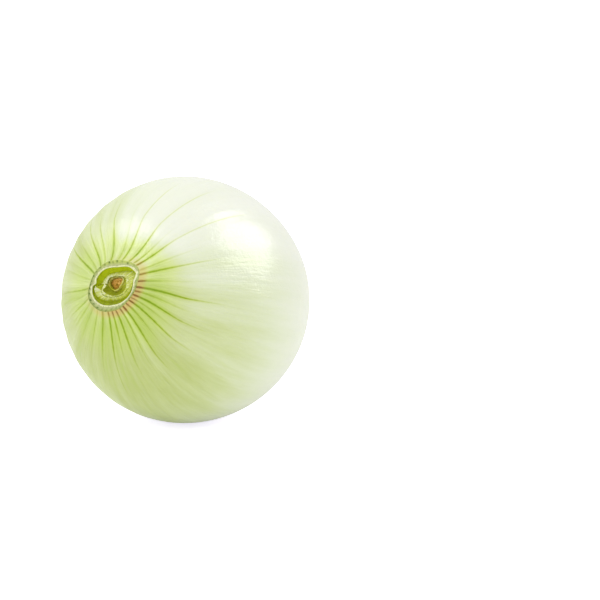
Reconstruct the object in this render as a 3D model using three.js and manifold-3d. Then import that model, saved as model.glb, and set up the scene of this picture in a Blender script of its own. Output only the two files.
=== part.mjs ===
// A peeled white onion lying on its side, with its neck cut across and its roots sliced off.
//
// Each piece is lofted in the bulb's own frame, in millimetres: +Z runs up the bulb's axis from the
// roots to the neck, and z = 0 is the widest level. The bulb is then laid down, neck towards -Y and
// a little raised, so that it rests on one small pressed flat, with the middle of its footprint at
// the origin.
//
// bulb          the outermost fleshy scale, solid, with the hollow of its cut neck and its root seat
// inner_scale   the next scale's cut tube, which stands in the neck's hollow
// heart_scale   the innermost scale, rolled up inside that tube
// dry_tip       the withered tip of the shoot, in the middle
// root_plate    the corky plate at the base, with the stubs of the sliced roots

import * as THREE from 'three';
import { mergeVertices } from 'three/addons/utils/BufferGeometryUtils.js';
import Module from 'manifold-3d';

const wasm = await Module();
wasm.setup();

// ---- driving dimensions, mm and degrees ----

const BULB = {
  radius: 42, // at the widest level
  domeHeight: 39.7, // half-height of the ellipse above the widest level
  baseDepth: 43.7, // half-height of the ellipse below it
  outOfRound: 0.25, // how much wider than a circle it is along X, and narrower across
  rows: 30,
  crowding: 0.22, // how far the rows gather towards the neck
};

const NECK = {
  level: 39.6, // of the cut, above the widest level
  flareReach: 2.6, // how fast the raised collar dies away from the rim
  ovalFrom: 52, // latitude where the round bulb starts to turn into the neck's oval
  bend: 5, // how far the veins swing there, to meet the oval more nearly square
  twist: 2.5, // how far they are all turned together
  cutEdge: 0.35, // how much the cut face's edges are rounded
  hollowDepth: 6.5, // from the cut to the hollow's floor
};

// The main veins, in degrees round from +X, each in a shallow furrow that runs down from the neck.
const VEINS = [
  0, 13, 26.5, 36, 49.5, 58, 69.5, 86.5, 97, 114.5, 129, 139.5, 150.5, 159, 173, 189.5, 199, 209.5,
  219.5, 231, 244.5, 255, 269, 279.5, 289, 299.5, 308, 317.5, 327, 334.5, 342, 351,
];
const FURROW = { depth: 0.3, facets: 4 }; // facets from one vein to the next

// Ovals seen down the axis: centre, half-width, half-height and how far each is turned.
const OVAL = {
  neckRim: { x: -0.3, y: 0.7, a: 11, b: 8.2, turn: 35 },
  hollowMouth: { x: 0, y: 0.4, a: 9.1, b: 6.2, turn: 28 },
  hollowFloor: { x: -0.2, y: 0.3, a: 8.4, b: 5.8, turn: 28 },
  innerScaleRim: { x: -0.6, y: 0.3, a: 5.6, b: 3.8, turn: 18 },
  heartFoot: { x: -0.8, y: 0.9, a: 4.2, b: 2.9, turn: 12 },
  heartRim: { x: -0.9, y: 1.1, a: 3.1, b: 2, turn: 12 },
};

// A strip is torn off the wall of the hollow: on one side of the tear the wall is thicker than the
// oval, and on the other it is thinner, and both even out a little way round.
const TEAR = { angle: 181, step: 0.7, evensOut: 8 };

// The tubes in the neck: how thick, how far below the cut they end, and how slanted and ragged.
const INNER_SCALE = { columns: 48, wall: 0.8, sunk: 1.4, slant: 0.5, highSide: -40, ragged: 0.12 };
const HEART_SCALE = { columns: 32, wall: 0.5, sunk: 2.4, slant: 0.3, highSide: 150, ragged: 0.15 };

// Below the tear, the inner scale bulges out to where the strip was.
const BULGE = { angle: 205, width: 24, reach: 1.7 };

const DRY_TIP = { columns: 20, sunk: 3.6, rise: 0.9, lump: 0.12 };

const ROOT = {
  cutRadius: 8, // of the flat left where the roots were sliced off
  plateRadius: 5.4,
  seatDepth: 1.6, // how deep the corky plate is set into the flesh
  proud: 0.5, // how far it bulges past the cut
  columns: 48,
  stubs: 26,
  stubRadius: 0.35,
  stubLength: 0.65, // what stands out of the plate
};

const FIT_GAP = 0.3; // clear space between two pieces that touch
const NECK_RISE = 16.5; // how far the neck points up from level when the bulb lies down
const REST_FLAT_DEPTH = 0.45; // how much is pressed flat where it rests

const COLOURS = {
  bulb: 0xe4edc6,
  innerScale: 0xc6d07a,
  heartScale: 0xd2d894,
  dryTip: 0x9c6a34,
  rootPlate: 0xd9bd8b,
};

// ---- small helpers ----

const radians = THREE.MathUtils.degToRad;
const degrees = THREE.MathUtils.radToDeg;
const mix = THREE.MathUtils.lerp;
const smooth = THREE.MathUtils.smoothstep;

// Repeatable random numbers from 0 to 1.
function seeded(seed) {
  let state = seed;
  return () => {
    state = (state * 1664525 + 1013904223) % 4294967296;
    return state / 4294967296;
  };
}

// Distance from an oval's centre to its edge at an angle.
function ovalRadius(oval, angle) {
  const turned = angle - radians(oval.turn);
  return (oval.a * oval.b) / Math.hypot(oval.b * Math.cos(turned), oval.a * Math.sin(turned));
}

// A point on an oval's edge, moved outwards by grow, at a height z.
function ovalPoint(oval, angle, z, grow = 0) {
  const r = ovalRadius(oval, angle) + grow;
  return new THREE.Vector3(oval.x + r * Math.cos(angle), oval.y + r * Math.sin(angle), z);
}

function circlePoint(r, angle, z) {
  return new THREE.Vector3(r * Math.cos(angle), r * Math.sin(angle), z);
}

// One closed loop of points, from a function of the angle.
function loop(columns, pointAt) {
  return Array.from({ length: columns }, (_, i) => pointAt((2 * Math.PI * i) / columns));
}

function middleOf(points) {
  const middle = new THREE.Vector3();
  points.forEach((p) => middle.add(p));
  return middle.divideScalar(points.length);
}

// ---- lofts ----

// The triangles between two rows of points.
function band(row, nextRow, columns) {
  const faces = [];
  for (let i = 0; i < columns; i++) {
    const next = (i + 1) % columns;
    const here = row * columns;
    const above = nextRow * columns;
    faces.push(here + i, here + next, above + i, here + next, above + next, above + i);
  }
  return faces;
}

function indexed(points, faces) {
  const geometry = new THREE.BufferGeometry().setFromPoints(points);
  geometry.setIndex(faces);
  return geometry;
}

// Joins loops into one closed skin, each end closed by a fan round the middle of its loop. The
// loops turn anticlockwise seen from +Z, and run up the outside and then down the inside.
function loft(loops) {
  const columns = loops[0].length;
  const points = [...loops.flat(), middleOf(loops[0]), middleOf(loops.at(-1))];
  const firstMiddle = points.length - 2;
  const lastMiddle = points.length - 1;
  const lastRow = loops.length - 1;
  const faces = [];
  for (let row = 0; row < lastRow; row++) {
    faces.push(...band(row, row + 1, columns));
  }
  for (let i = 0; i < columns; i++) {
    const next = (i + 1) % columns;
    faces.push(firstMiddle, next, i);
    faces.push(lastMiddle, lastRow * columns + i, lastRow * columns + next);
  }
  return indexed(points, faces);
}

// The same, with the last loop joined to the first, for a tube that is open at both ends.
function loftRing(loops) {
  const columns = loops[0].length;
  const faces = loops.flatMap((_, row) => band(row, (row + 1) % loops.length, columns));
  return indexed(loops.flat(), faces);
}

// ---- solids and meshes ----

// A geometry as a solid that can be joined and cut, and back.
function toSolid(geometry) {
  const bare = new THREE.BufferGeometry().setAttribute('position', geometry.getAttribute('position'));
  bare.setIndex(geometry.index);
  const merged = mergeVertices(bare, 1e-4);
  return new wasm.Manifold(
    new wasm.Mesh({
      numProp: 3,
      vertProperties: new Float32Array(merged.getAttribute('position').array),
      triVerts: new Uint32Array(merged.index.array),
    }),
  );
}

function toGeometry(solid) {
  const mesh = solid.getMesh();
  const geometry = new THREE.BufferGeometry();
  geometry.setAttribute('position', new THREE.BufferAttribute(mesh.vertProperties, 3));
  geometry.setIndex(new THREE.BufferAttribute(mesh.triVerts, 1));
  return geometry;
}

function piece(name, geometry, colour, roughness) {
  const faceted = geometry.toNonIndexed();
  faceted.computeVertexNormals();
  const material = new THREE.MeshStandardMaterial({ color: colour, roughness, metalness: 0 });
  const mesh = new THREE.Mesh(faceted, material);
  mesh.name = name;
  return mesh;
}

// ---- the bulb ----

const RIM_LATITUDE = Math.acos(OVAL.neckRim.a / BULB.radius);
const ROOT_LATITUDE = -Math.acos(ROOT.cutRadius / BULB.radius);
const RIM_LIFT = NECK.level - BULB.domeHeight * Math.sin(RIM_LATITUDE);
const FLOOR_LEVEL = NECK.level - NECK.hollowDepth;
const ROOT_LEVEL = BULB.baseDepth * Math.sin(ROOT_LATITUDE);

// The bulb's columns of points: one along each vein, and the rest spaced out between it and the next.
const COLUMNS = VEINS.flatMap((vein, i) => {
  const next = VEINS[i + 1] ?? VEINS[0] + 360;
  return Array.from({ length: FURROW.facets }, (_, step) => {
    const share = step / FURROW.facets;
    return { angle: radians(mix(vein, next, share)), furrow: Math.cos(Math.PI * share) ** 2 };
  });
});

const towardsNeck = (latitude) => smooth(latitude, radians(NECK.ovalFrom), RIM_LATITUDE);

// Where a column stands round the axis: it swings a little as it nears the neck.
function columnAngle(column, latitude) {
  const swing = NECK.twist + NECK.bend * Math.sin(2 * (column.angle - radians(OVAL.neckRim.turn)));
  return column.angle - radians(swing) * towardsNeck(latitude);
}

const rimAngle = (column) => columnAngle(column, RIM_LATITUDE);

// How far the furrows sink: deepest just out from the neck, gone past the widest level.
function furrowDepth(latitude) {
  const fromRim = smooth(RIM_LATITUDE - latitude, 0, radians(8));
  const fade = smooth(latitude, radians(-25), radians(65)) ** 1.5;
  return FURROW.depth * mix(0.35, 1, fromRim) * fade;
}

// A point on the skin. Low down it is an ellipse of revolution. Near the neck its section turns
// steadily into the neck's oval, and a collar lifts it to the cut.
function skinPoint(latitude, column) {
  const rim = OVAL.neckRim;
  const angle = columnAngle(column, latitude);
  const rimRadius = ovalRadius(rim, angle);
  const circle = BULB.radius + BULB.outOfRound * Math.cos(2 * angle);
  const shape = mix(circle, (BULB.radius * rimRadius) / rim.a, towardsNeck(latitude));
  const r = shape * Math.cos(latitude) - furrowDepth(latitude) * column.furrow;
  const beyondRim = Math.max(0, r - rimRadius);
  const collar = latitude > 0 ? RIM_LIFT * Math.exp(-beyondRim / NECK.flareReach) : 0;
  const halfHeight = latitude > 0 ? BULB.domeHeight : BULB.baseDepth;
  const point = circlePoint(r, angle, halfHeight * Math.sin(latitude) + collar);
  return point.add(new THREE.Vector3(rim.x, rim.y, 0).multiplyScalar(towardsNeck(latitude)));
}

// The mouth of the hollow, with the step where the strip was torn off.
function mouthPoint(angle, z, grow = 0) {
  const past = degrees(angle) - TEAR.angle;
  const step = TEAR.step * Math.sign(past) * Math.exp(-Math.abs(past) / TEAR.evensOut);
  return ovalPoint(OVAL.hollowMouth, angle, z, grow + step);
}

function bulbGeometry() {
  const loops = [];
  const add = (pointAt) => loops.push(COLUMNS.map(pointAt));

  // the seat of the root plate, and the sliced flat round it
  const seatRadius = ROOT.plateRadius + FIT_GAP;
  add(({ angle }) => circlePoint(seatRadius, angle, ROOT_LEVEL + ROOT.seatDepth));
  add(({ angle }) => circlePoint(seatRadius, angle, ROOT_LEVEL));

  // the skin, in rows that gather towards the neck
  for (let row = 0; row <= BULB.rows; row++) {
    const share = row / BULB.rows;
    const gathered = share + BULB.crowding * Math.sin(Math.PI * share) * share;
    const latitude = mix(ROOT_LATITUDE, RIM_LATITUDE, gathered);
    add((column) => skinPoint(latitude, column));
  }

  // the cut face, from its outer edge over to the lip of the hollow
  const { level, cutEdge } = NECK;
  add((column) => ovalPoint(OVAL.neckRim, rimAngle(column), level + cutEdge * 0.3, -cutEdge));
  add((column) => mouthPoint(rimAngle(column), level + cutEdge * 0.4, cutEdge * 2));
  add((column) => mouthPoint(rimAngle(column), level - cutEdge * 0.3));

  // down the wall of the hollow to its floor
  for (const share of [0.3, 0.65, 1]) {
    const z = mix(level, FLOOR_LEVEL, share);
    add((column) => {
      const angle = rimAngle(column);
      return mouthPoint(angle, z).lerp(ovalPoint(OVAL.hollowFloor, angle, z), share);
    });
  }
  return loft(loops);
}

// The flat that the bulb rests on: a block whose top lies level, just above its lowest point.
function restCutter(geometry) {
  const down = new THREE.Vector3(0, -Math.cos(radians(NECK_RISE)), -Math.sin(radians(NECK_RISE)));
  const position = geometry.getAttribute('position');
  const point = new THREE.Vector3();
  let lowest = -Infinity;
  for (let i = 0; i < position.count; i++) {
    lowest = Math.max(lowest, point.fromBufferAttribute(position, i).dot(down));
  }
  const size = BULB.radius;
  const block = new THREE.BoxGeometry(size, size, size);
  block.applyQuaternion(new THREE.Quaternion().setFromUnitVectors(new THREE.Vector3(0, 0, 1), down));
  block.translate(...down.multiplyScalar(lowest - REST_FLAT_DEPTH + size / 2).toArray());
  return block;
}

function bulb() {
  const whole = bulbGeometry();
  const rested = toSolid(whole).subtract(toSolid(restCutter(whole)));
  return piece('bulb', toGeometry(rested), COLOURS.bulb, 0.32);
}

// ---- the rolled scales in the neck ----

// How high a tube's rim stands: cut on a slant, and ragged in a few uneven waves.
function rimLevel(tube, angle) {
  const slant = tube.slant * Math.cos(angle - radians(tube.highSide));
  const ragged = tube.ragged * (Math.sin(5 * angle + 1) + 0.6 * Math.sin(11 * angle));
  return NECK.level - tube.sunk + slant + ragged;
}

// A tube, open at both ends, that narrows from its foot on the hollow's floor to its ragged rim.
// The bulge, in mm at an angle, swells its outside below the rim.
function tubeGeometry(tube, foot, rim, bulgeAt = () => 0) {
  const loops = [];
  const add = (share, inset, bulge = () => 0) => {
    loops.push(loop(tube.columns, (angle) => {
      const grow = bulge(angle) - inset;
      const low = ovalPoint(foot, angle, FLOOR_LEVEL + FIT_GAP, grow);
      return low.lerp(ovalPoint(rim, angle, rimLevel(tube, angle), grow), share);
    }));
  };
  const shares = [0, 0.3, 0.6, 0.85, 0.97];
  shares.forEach((share) => add(share, 0, (angle) => bulgeAt(angle) * smooth(share, 0.2, 0.85)));
  add(1.01, tube.wall * 0.35);
  shares.reverse().forEach((share) => add(share, tube.wall));
  return loftRing(loops);
}

function innerScale() {
  const floor = OVAL.hollowFloor;
  const foot = { ...floor, a: floor.a - FIT_GAP, b: floor.b - FIT_GAP };
  const bulgeAt = (angle) => {
    return BULGE.reach * Math.exp(-(((degrees(angle) - BULGE.angle) / BULGE.width) ** 2));
  };
  const geometry = tubeGeometry(INNER_SCALE, foot, OVAL.innerScaleRim, bulgeAt);
  return piece('inner_scale', geometry, COLOURS.innerScale, 0.4);
}

function heartScale() {
  const geometry = tubeGeometry(HEART_SCALE, OVAL.heartFoot, OVAL.heartRim);
  return piece('heart_scale', geometry, COLOURS.heartScale, 0.45);
}

// A crumpled knob that fills the middle of the rolled heart.
function dryTip() {
  const inset = HEART_SCALE.wall + FIT_GAP;
  const shoulder = NECK.level - DRY_TIP.sunk;
  const lump = (angle) => DRY_TIP.lump * (Math.sin(5 * angle) + 0.7 * Math.sin(9 * angle + 2));
  const row = (oval, z, inwards) => {
    return loop(DRY_TIP.columns, (angle) => ovalPoint(oval, angle, z, lump(angle) - inwards));
  };
  const knob = loft([
    row(OVAL.heartFoot, FLOOR_LEVEL + FIT_GAP, inset),
    row(OVAL.heartRim, shoulder, inset + 0.2),
    row(OVAL.heartRim, shoulder + DRY_TIP.rise * 0.6, inset + 0.4),
    row(OVAL.heartRim, shoulder + DRY_TIP.rise, inset + 0.8),
  ]);
  return piece('dry_tip', knob, COLOURS.dryTip, 0.85);
}

// ---- the root plate ----

// A low corky dome in its seat.
function plateGeometry() {
  const { plateRadius, proud, seatDepth, columns } = ROOT;
  const ring = (share, z) => loop(columns, (angle) => {
    return circlePoint(plateRadius * share * (1 + 0.02 * Math.sin(7 * angle + share)), angle, z);
  });
  return loft([
    ring(0.3, ROOT_LEVEL - proud * 0.75),
    ring(0.6, ROOT_LEVEL - proud),
    ring(0.86, ROOT_LEVEL - proud * 0.6),
    ring(0.96, ROOT_LEVEL),
    ring(0.96, ROOT_LEVEL + seatDepth - FIT_GAP),
  ]);
}

// One sliced root, from inside the plate out to its cut end.
function stubGeometry(r, angle, thickness, length) {
  const sunk = ROOT.seatDepth * 0.6;
  const stub = new THREE.CylinderGeometry(thickness, thickness * 0.8, length + sunk, 6);
  stub.rotateX(Math.PI / 2);
  const outerEnd = ROOT_LEVEL - ROOT.proud * 0.6 - length;
  const { x, y, z } = circlePoint(r, angle, outerEnd + (length + sunk) / 2);
  return stub.translate(x, y, z);
}

// The roots stand on a spiral that spreads them evenly over all but the middle of the plate.
function rootPlate() {
  const random = seeded(7);
  const goldenAngle = Math.PI * (3 - Math.sqrt(5));
  let plate = toSolid(plateGeometry());
  for (let i = 0; i < ROOT.stubs; i++) {
    const r = ROOT.plateRadius * 0.86 * Math.sqrt((i + 4) / (ROOT.stubs + 3));
    const angle = (i + 0.1 * random()) * goldenAngle;
    const thickness = ROOT.stubRadius * mix(0.8, 1.2, random());
    const length = ROOT.stubLength * mix(0.7, 1.3, random());
    plate = plate.add(toSolid(stubGeometry(r, angle, thickness, length)));
  }
  return piece('root_plate', toGeometry(plate), COLOURS.rootPlate, 0.9);
}

// ---- the onion, laid down ----

const lying = new THREE.Group();
lying.add(bulb(), innerScale(), heartScale(), dryTip(), rootPlate());
lying.rotation.x = Math.PI / 2 - radians(NECK_RISE);

const onion = new THREE.Group();
onion.add(lying);
onion.updateMatrixWorld(true);
const box = new THREE.Box3().setFromObject(onion, true);
const footprint = box.getCenter(new THREE.Vector3());
lying.position.set(-footprint.x, -footprint.y, -box.min.z);

export default onion;
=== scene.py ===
"""A peeled white onion lying on its side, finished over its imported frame.

Every piece is worked out in the bulb's own frame, in millimetres: z runs up the bulb's axis from
the roots to the neck, z = 0 is the widest level, and angles are measured round the axis from +x. A
Placement then lays the bulb down in the row frame, in metres. Each surface is a grid of closed
loops round the axis, computed as whole arrays. Levels, sizes and depths are in millimetres, and
latitudes and turns in degrees, unless a comment says otherwise.
"""

import logging
import math
from dataclasses import dataclass, field
from enum import Enum

import bpy
import numpy as np
from mathutils import Matrix, Quaternion, Vector
from numpy.typing import NDArray


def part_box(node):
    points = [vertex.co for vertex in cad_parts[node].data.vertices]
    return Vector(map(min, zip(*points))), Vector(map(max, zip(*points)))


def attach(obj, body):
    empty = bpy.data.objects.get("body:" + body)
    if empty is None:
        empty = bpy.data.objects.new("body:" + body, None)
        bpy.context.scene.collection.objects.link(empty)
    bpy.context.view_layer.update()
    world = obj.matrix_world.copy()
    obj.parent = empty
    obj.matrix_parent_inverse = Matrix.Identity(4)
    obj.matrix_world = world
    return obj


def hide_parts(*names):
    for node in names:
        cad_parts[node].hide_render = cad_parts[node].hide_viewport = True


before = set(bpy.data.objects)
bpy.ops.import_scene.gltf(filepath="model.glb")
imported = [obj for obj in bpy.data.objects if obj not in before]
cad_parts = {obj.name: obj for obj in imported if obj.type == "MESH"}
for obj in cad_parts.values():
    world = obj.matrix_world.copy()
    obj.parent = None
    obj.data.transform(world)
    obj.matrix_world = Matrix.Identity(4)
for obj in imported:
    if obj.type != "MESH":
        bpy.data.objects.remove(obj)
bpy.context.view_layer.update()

Array = NDArray[np.float64]
Colour = tuple[float, float, float]
Stops = tuple[tuple[float, Colour], ...]
Socket = bpy.types.NodeSocket

log = logging.getLogger("onion")
MM = 0.001  # metres in a millimetre
TURN = 2 * math.pi
FINE_STEPS = 720  # steps round the circle in which a course is blurred


# ---- numbers ----


def smoothstep(x: Array | float, low: float, high: float) -> Array:
    """Ramp from 0 at low to 1 at high, as 3t^2 - 2t^3 of the share t of the way."""
    t = np.clip((np.asarray(x, float) - low) / (high - low), 0.0, 1.0)
    return t * t * (3 - 2 * t)


def mix(a: Array | float, b: Array | float, share: Array | float) -> Array:
    """Value that lies share of the way from a to b."""
    return a + (np.asarray(b) - a) * share


@dataclass(frozen=True)
class Hump:
    """A value that rises smoothly at one side of the axis."""

    height: float
    centre: float  # degrees round the axis
    width: float  # degrees from the centre to where it has fallen to 1/e

    def at(self, degrees: Array) -> Array:
        """Height times exp(-(d / width)^2), with d the shorter way round to the centre."""
        away = (degrees - self.centre + 180) % 360 - 180
        return self.height * np.exp(-((away / self.width) ** 2))


def linear(hex_code: str) -> Colour:
    """Scene colour of a hex code: each screen channel c becomes ((c + 0.055) / 1.055)^2.4."""
    channels = (int(hex_code[i : i + 2], 16) / 255 for i in (0, 2, 4))
    return tuple(c / 12.92 if c <= 0.04045 else ((c + 0.055) / 1.055) ** 2.4 for c in channels)


def shades(*pairs: tuple[float, str]) -> Stops:
    """Colour stops from pairs of a place from 0 to 1 and a hex code."""
    return tuple((place, linear(code)) for place, code in pairs)


def smooth_path(stops: Array, shares: Array) -> Array:
    """Loops on smooth paths through a few given loops.

    Between two stops each point runs on the Catmull-Rom cubic, whose slope at a stop is half the
    step from the stop before it to the stop after it.

    Args:
        stops: The given loops, as (stops, columns, 3).
        shares: Where to take loops, from 0 at the first stop to 1 at the last.

    Returns:
        The loops, as (shares, columns, 3).
    """
    padded = np.concatenate([2 * stops[:1] - stops[1:2], stops, 2 * stops[-1:] - stops[-2:-1]])
    place = np.clip(shares, 0, 1) * (len(stops) - 1)
    start = np.minimum(place.astype(int), len(stops) - 2)
    t = (place - start)[:, None, None]
    p0, p1, p2, p3 = (padded[start + k] for k in range(4))
    curve = 2 * p0 - 5 * p1 + 4 * p2 - p3 + t * (3 * (p1 - p2) + p3 - p0)
    return p1 + 0.5 * t * (p2 - p0 + t * curve)


def sweep(loops: list[Array], each: int, skip: int = 0) -> tuple[Array, Array]:
    """Rows of points on smooth paths through a list of loops.

    Args:
        loops: The loops, each (columns, 3).
        each: How many rows there are from one loop to the next.
        skip: How many rows to leave out at the start, where another section has them.

    Returns:
        The points, as (rows, columns, 3), and each row's place counted in loops, as (rows, 1).
    """
    place = np.linspace(0, len(loops) - 1, (len(loops) - 1) * each + 1)[skip:]
    return smooth_path(np.stack(loops), place / (len(loops) - 1)), place[:, None]


@dataclass(frozen=True)
class Placement:
    """Where the bulb's own frame lies in the row frame."""

    neck_rise: float  # degrees that the neck points up from level
    centre: Array  # the bulb's centre in the row frame, mm

    def axes(self) -> Array:
        """Rows are the own x, y and z directions in the row frame: a turn about x.

        Returns:
            The directions, as (3, 3).
        """
        turn = math.radians(90 - self.neck_rise)
        flat, steep = math.cos(turn), math.sin(turn)
        return np.array([[1, 0, 0], [0, flat, steep], [0, -steep, flat]])

    def place(self, points: Array) -> Array:
        """Own millimetres to row metres: turned, then moved to the centre."""
        return (points @ self.axes() + self.centre) * MM


# ---- shapes of the onion, mm and degrees ----


@dataclass(frozen=True)
class Oval:
    """An ellipse seen down the axis."""

    x: float  # its centre
    y: float
    a: float  # half its width
    b: float  # half its height
    turn: float  # degrees that its width is turned from +x

    def radius(self, angle: Array) -> Array:
        """Distance from the centre to the edge: a b / hypot(b cos, a sin) of the turned angle."""
        turned = angle - math.radians(self.turn)
        return self.a * self.b / np.hypot(self.b * np.cos(turned), self.a * np.sin(turned))

    def loop(self, angle: Array, z: Array | float, grow: Array | float = 0.0) -> Array:
        """Points on the edge.

        Args:
            angle: Angles round the centre, in radians.
            z: Their height.
            grow: How far to move them outwards.

        Returns:
            The points, as (angles, 3).
        """
        r = self.radius(angle) + grow
        xyz = (self.x + r * np.cos(angle), self.y + r * np.sin(angle), z + 0 * r)
        return np.stack(np.broadcast_arrays(*xyz), axis=-1)


@dataclass(frozen=True)
class Around:
    """A value that changes round the axis, given at the angles where it turns."""

    knots: tuple[tuple[float, float], ...]  # (degrees, value)
    rounding: float = 4.0  # degrees over which its corners are rounded

    def at(self, angle: Array) -> Array:
        """Value at each angle: straight between knots, then blurred by a Gaussian.

        Args:
            angle: Angles, in radians.

        Returns:
            The values.
        """
        knots = np.array(self.knots, float)
        fine = np.arange(FINE_STEPS) * (360 / FINE_STEPS)
        straight = np.interp(fine, knots[:, 0], knots[:, 1], period=360)
        waves = np.arange(FINE_STEPS // 2 + 1)
        blur = np.exp(-0.5 * (waves * math.radians(self.rounding)) ** 2)
        rounded = np.fft.irfft(np.fft.rfft(straight) * blur, FINE_STEPS)
        return np.interp(np.degrees(angle), fine, rounded, period=360)


@dataclass(frozen=True)
class Outline:
    """A closed line round a centre, at a depth below the neck's cut."""

    centre: tuple[float, float]
    radius: Around
    depth: Around | float = 0.0

    def loop(
        self, angle: Array, level: float, grow: Array | float = 0.0, lift: Array | float = 0.0
    ) -> Array:
        """Points of the line.

        Args:
            angle: Angles round the centre, in radians.
            level: Height of the cut.
            grow: How far to move the line outwards.
            lift: How far to raise it.

        Returns:
            The points, as (angles, 3).
        """
        r = self.radius.at(angle) + grow
        depth = self.depth.at(angle) if isinstance(self.depth, Around) else self.depth
        x, y = self.centre
        xyz = (x + r * np.cos(angle), y + r * np.sin(angle), level - depth + lift)
        return np.stack(np.broadcast_arrays(*xyz), axis=-1)


# Outer edge of the neck's cut ring.
RING = Outline(
    (-0.4, 0.3),
    Around(
        (
            (3, 9.35), (13, 9.7), (21, 10.35), (30, 11.3), (38, 11.5), (43, 11.3), (52, 10.6),
            (66, 9.6), (86, 8.75), (108, 8.55), (145, 8.8), (160, 9.25), (177, 9.5), (189, 10),
            (203, 10.6), (214, 10.8), (226, 10.3), (244, 9.7), (265, 8.65), (281, 8.25), (299, 8.1),
            (321, 7.9), (338, 8.2), (350, 8.65),
        )
    ),
)


@dataclass(frozen=True)
class Vein:
    """One green vein: how dark it is near the neck, and how it fades on the way down."""

    angle: float  # degrees round the axis
    near: float  # darkness by the neck, 0 to 1
    turn: float  # latitude where it has thinned to its tail
    tail: float  # darkness of the tail
    end: float  # latitude where the tail dies
    scorch: float = 0.0  # how brown its start is

    def ink(self, latitude: Array) -> Array:
        """Darkness at a latitude: the tail, which dies over 18 degrees, and more by the neck."""
        tail = self.tail * smoothstep(latitude, self.end - 4, self.end + 14)
        return tail + (self.near - self.tail) * smoothstep(latitude, self.turn - 9, self.turn + 9)


# The veins, counted round the axis from +x.
VEINS = (
    Vein(0, 1.0, 54, 0.3, 36, 1.0),
    Vein(13, 0.5, 66, 0.12, 46, 0.8),
    Vein(26.5, 0.8, 61, 0.3, 38, 0.5),
    Vein(36, 0.35, 64, 0.1, 44, 0.1),
    Vein(49.5, 0.95, 62, 0.2, 14, 0.5),
    Vein(58, 0.6, 66, 0.08, 50, 0.1),
    Vein(69.5, 1.0, 62, 0.2, 20),
    Vein(86.5, 0.7, 62, 0.2, 26),
    Vein(97, 0.28, 65, 0.08, 46),
    Vein(114.5, 0.7, 58, 0.2, 37),
    Vein(129, 0.38, 58, 0.2, 41),
    Vein(139.5, 0.8, 60, 0.35, 36),
    Vein(150.5, 0.35, 60, 0.15, 48),
    Vein(159, 0.95, 58, 0.5, 36),
    Vein(173, 0.22, 62, 0.1, 46),
    Vein(189.5, 0.6, 64, 0.35, 40),
    Vein(199, 0.2, 64, 0.05, 55),
    Vein(209.5, 0.42, 62, 0.1, 50),
    Vein(219.5, 0.28, 62, 0.08, 54),
    Vein(231, 0.24, 63, 0.08, 54),
    Vein(244.5, 0.3, 60, 0.1, 44, 0.1),
    Vein(257, 0.6, 62, 0.14, 40, 0.25),
    Vein(270, 0.9, 59, 0.28, 34, 0.45),
    Vein(279.5, 0.7, 62, 0.12, 46, 0.6),
    Vein(289, 0.8, 60, 0.2, 42, 0.6),
    Vein(299.5, 0.55, 62, 0.15, 44, 0.6),
    Vein(308, 0.9, 61, 0.4, 42, 0.9),
    Vein(317.5, 0.55, 63, 0.1, 50, 0.6),
    Vein(327, 0.9, 59, 0.3, 42, 0.9),
    Vein(334.5, 0.35, 63, 0.1, 50, 0.5),
    Vein(342, 0.9, 58, 0.3, 40, 1.0),
    Vein(351, 0.45, 62, 0.15, 46, 0.6),
)


@dataclass(frozen=True)
class Columns:
    """The bulb's columns of points: one on each vein, and the rest spaced out between them."""

    facets: int = 12  # from one vein to the next

    def _spread(self) -> tuple[Array, Array]:
        """Index of the vein before each column, and the share of the way to the next."""
        count = len(VEINS) * self.facets
        return np.arange(count) // self.facets, (np.arange(count) % self.facets) / self.facets

    def nearest(self, per_vein: Array) -> Array:
        """Value of the nearer vein, and the mean of the two half way between them.

        Args:
            per_vein: Values, with the veins last.

        Returns:
            The values, with the columns last.
        """
        before, share = self._spread()
        pick = np.where(np.isclose(share, 0.5), 0.5, np.round(share))
        return mix(per_vein[..., before], np.roll(per_vein, -1, axis=-1)[..., before], pick)

    @property
    def angles(self) -> Array:
        """Angle of each column: even steps from one vein to the next.

        Returns:
            The angles, in radians.
        """
        veins = np.array([vein.angle for vein in VEINS], float)
        gaps = np.diff(np.append(veins, veins[0] + 360))
        before, share = self._spread()
        return np.radians(veins[before] + gaps[before] * share)

    @property
    def furrow(self) -> Array:
        """1 on a vein and 0 half way to the next: the squared cosine of the share times pi."""
        return np.cos(math.pi * self._spread()[1]) ** 2

    def gap(self, x: Array, y: Array) -> Array:
        """Distance to the nearer vein along each loop.

        Args:
            x: Loops of x, as (rows, columns).
            y: Loops of y.

        Returns:
            The smaller share of the way to a vein, times the straight distance between the two
            veins at that row, as (rows, columns).
        """
        vein_x, vein_y = x[:, :: self.facets], y[:, :: self.facets]
        pitch = np.hypot(np.roll(vein_x, -1, axis=1) - vein_x, np.roll(vein_y, -1, axis=1) - vein_y)
        before, share = self._spread()
        return np.minimum(share, 1 - share) * pitch[:, before]


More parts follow.
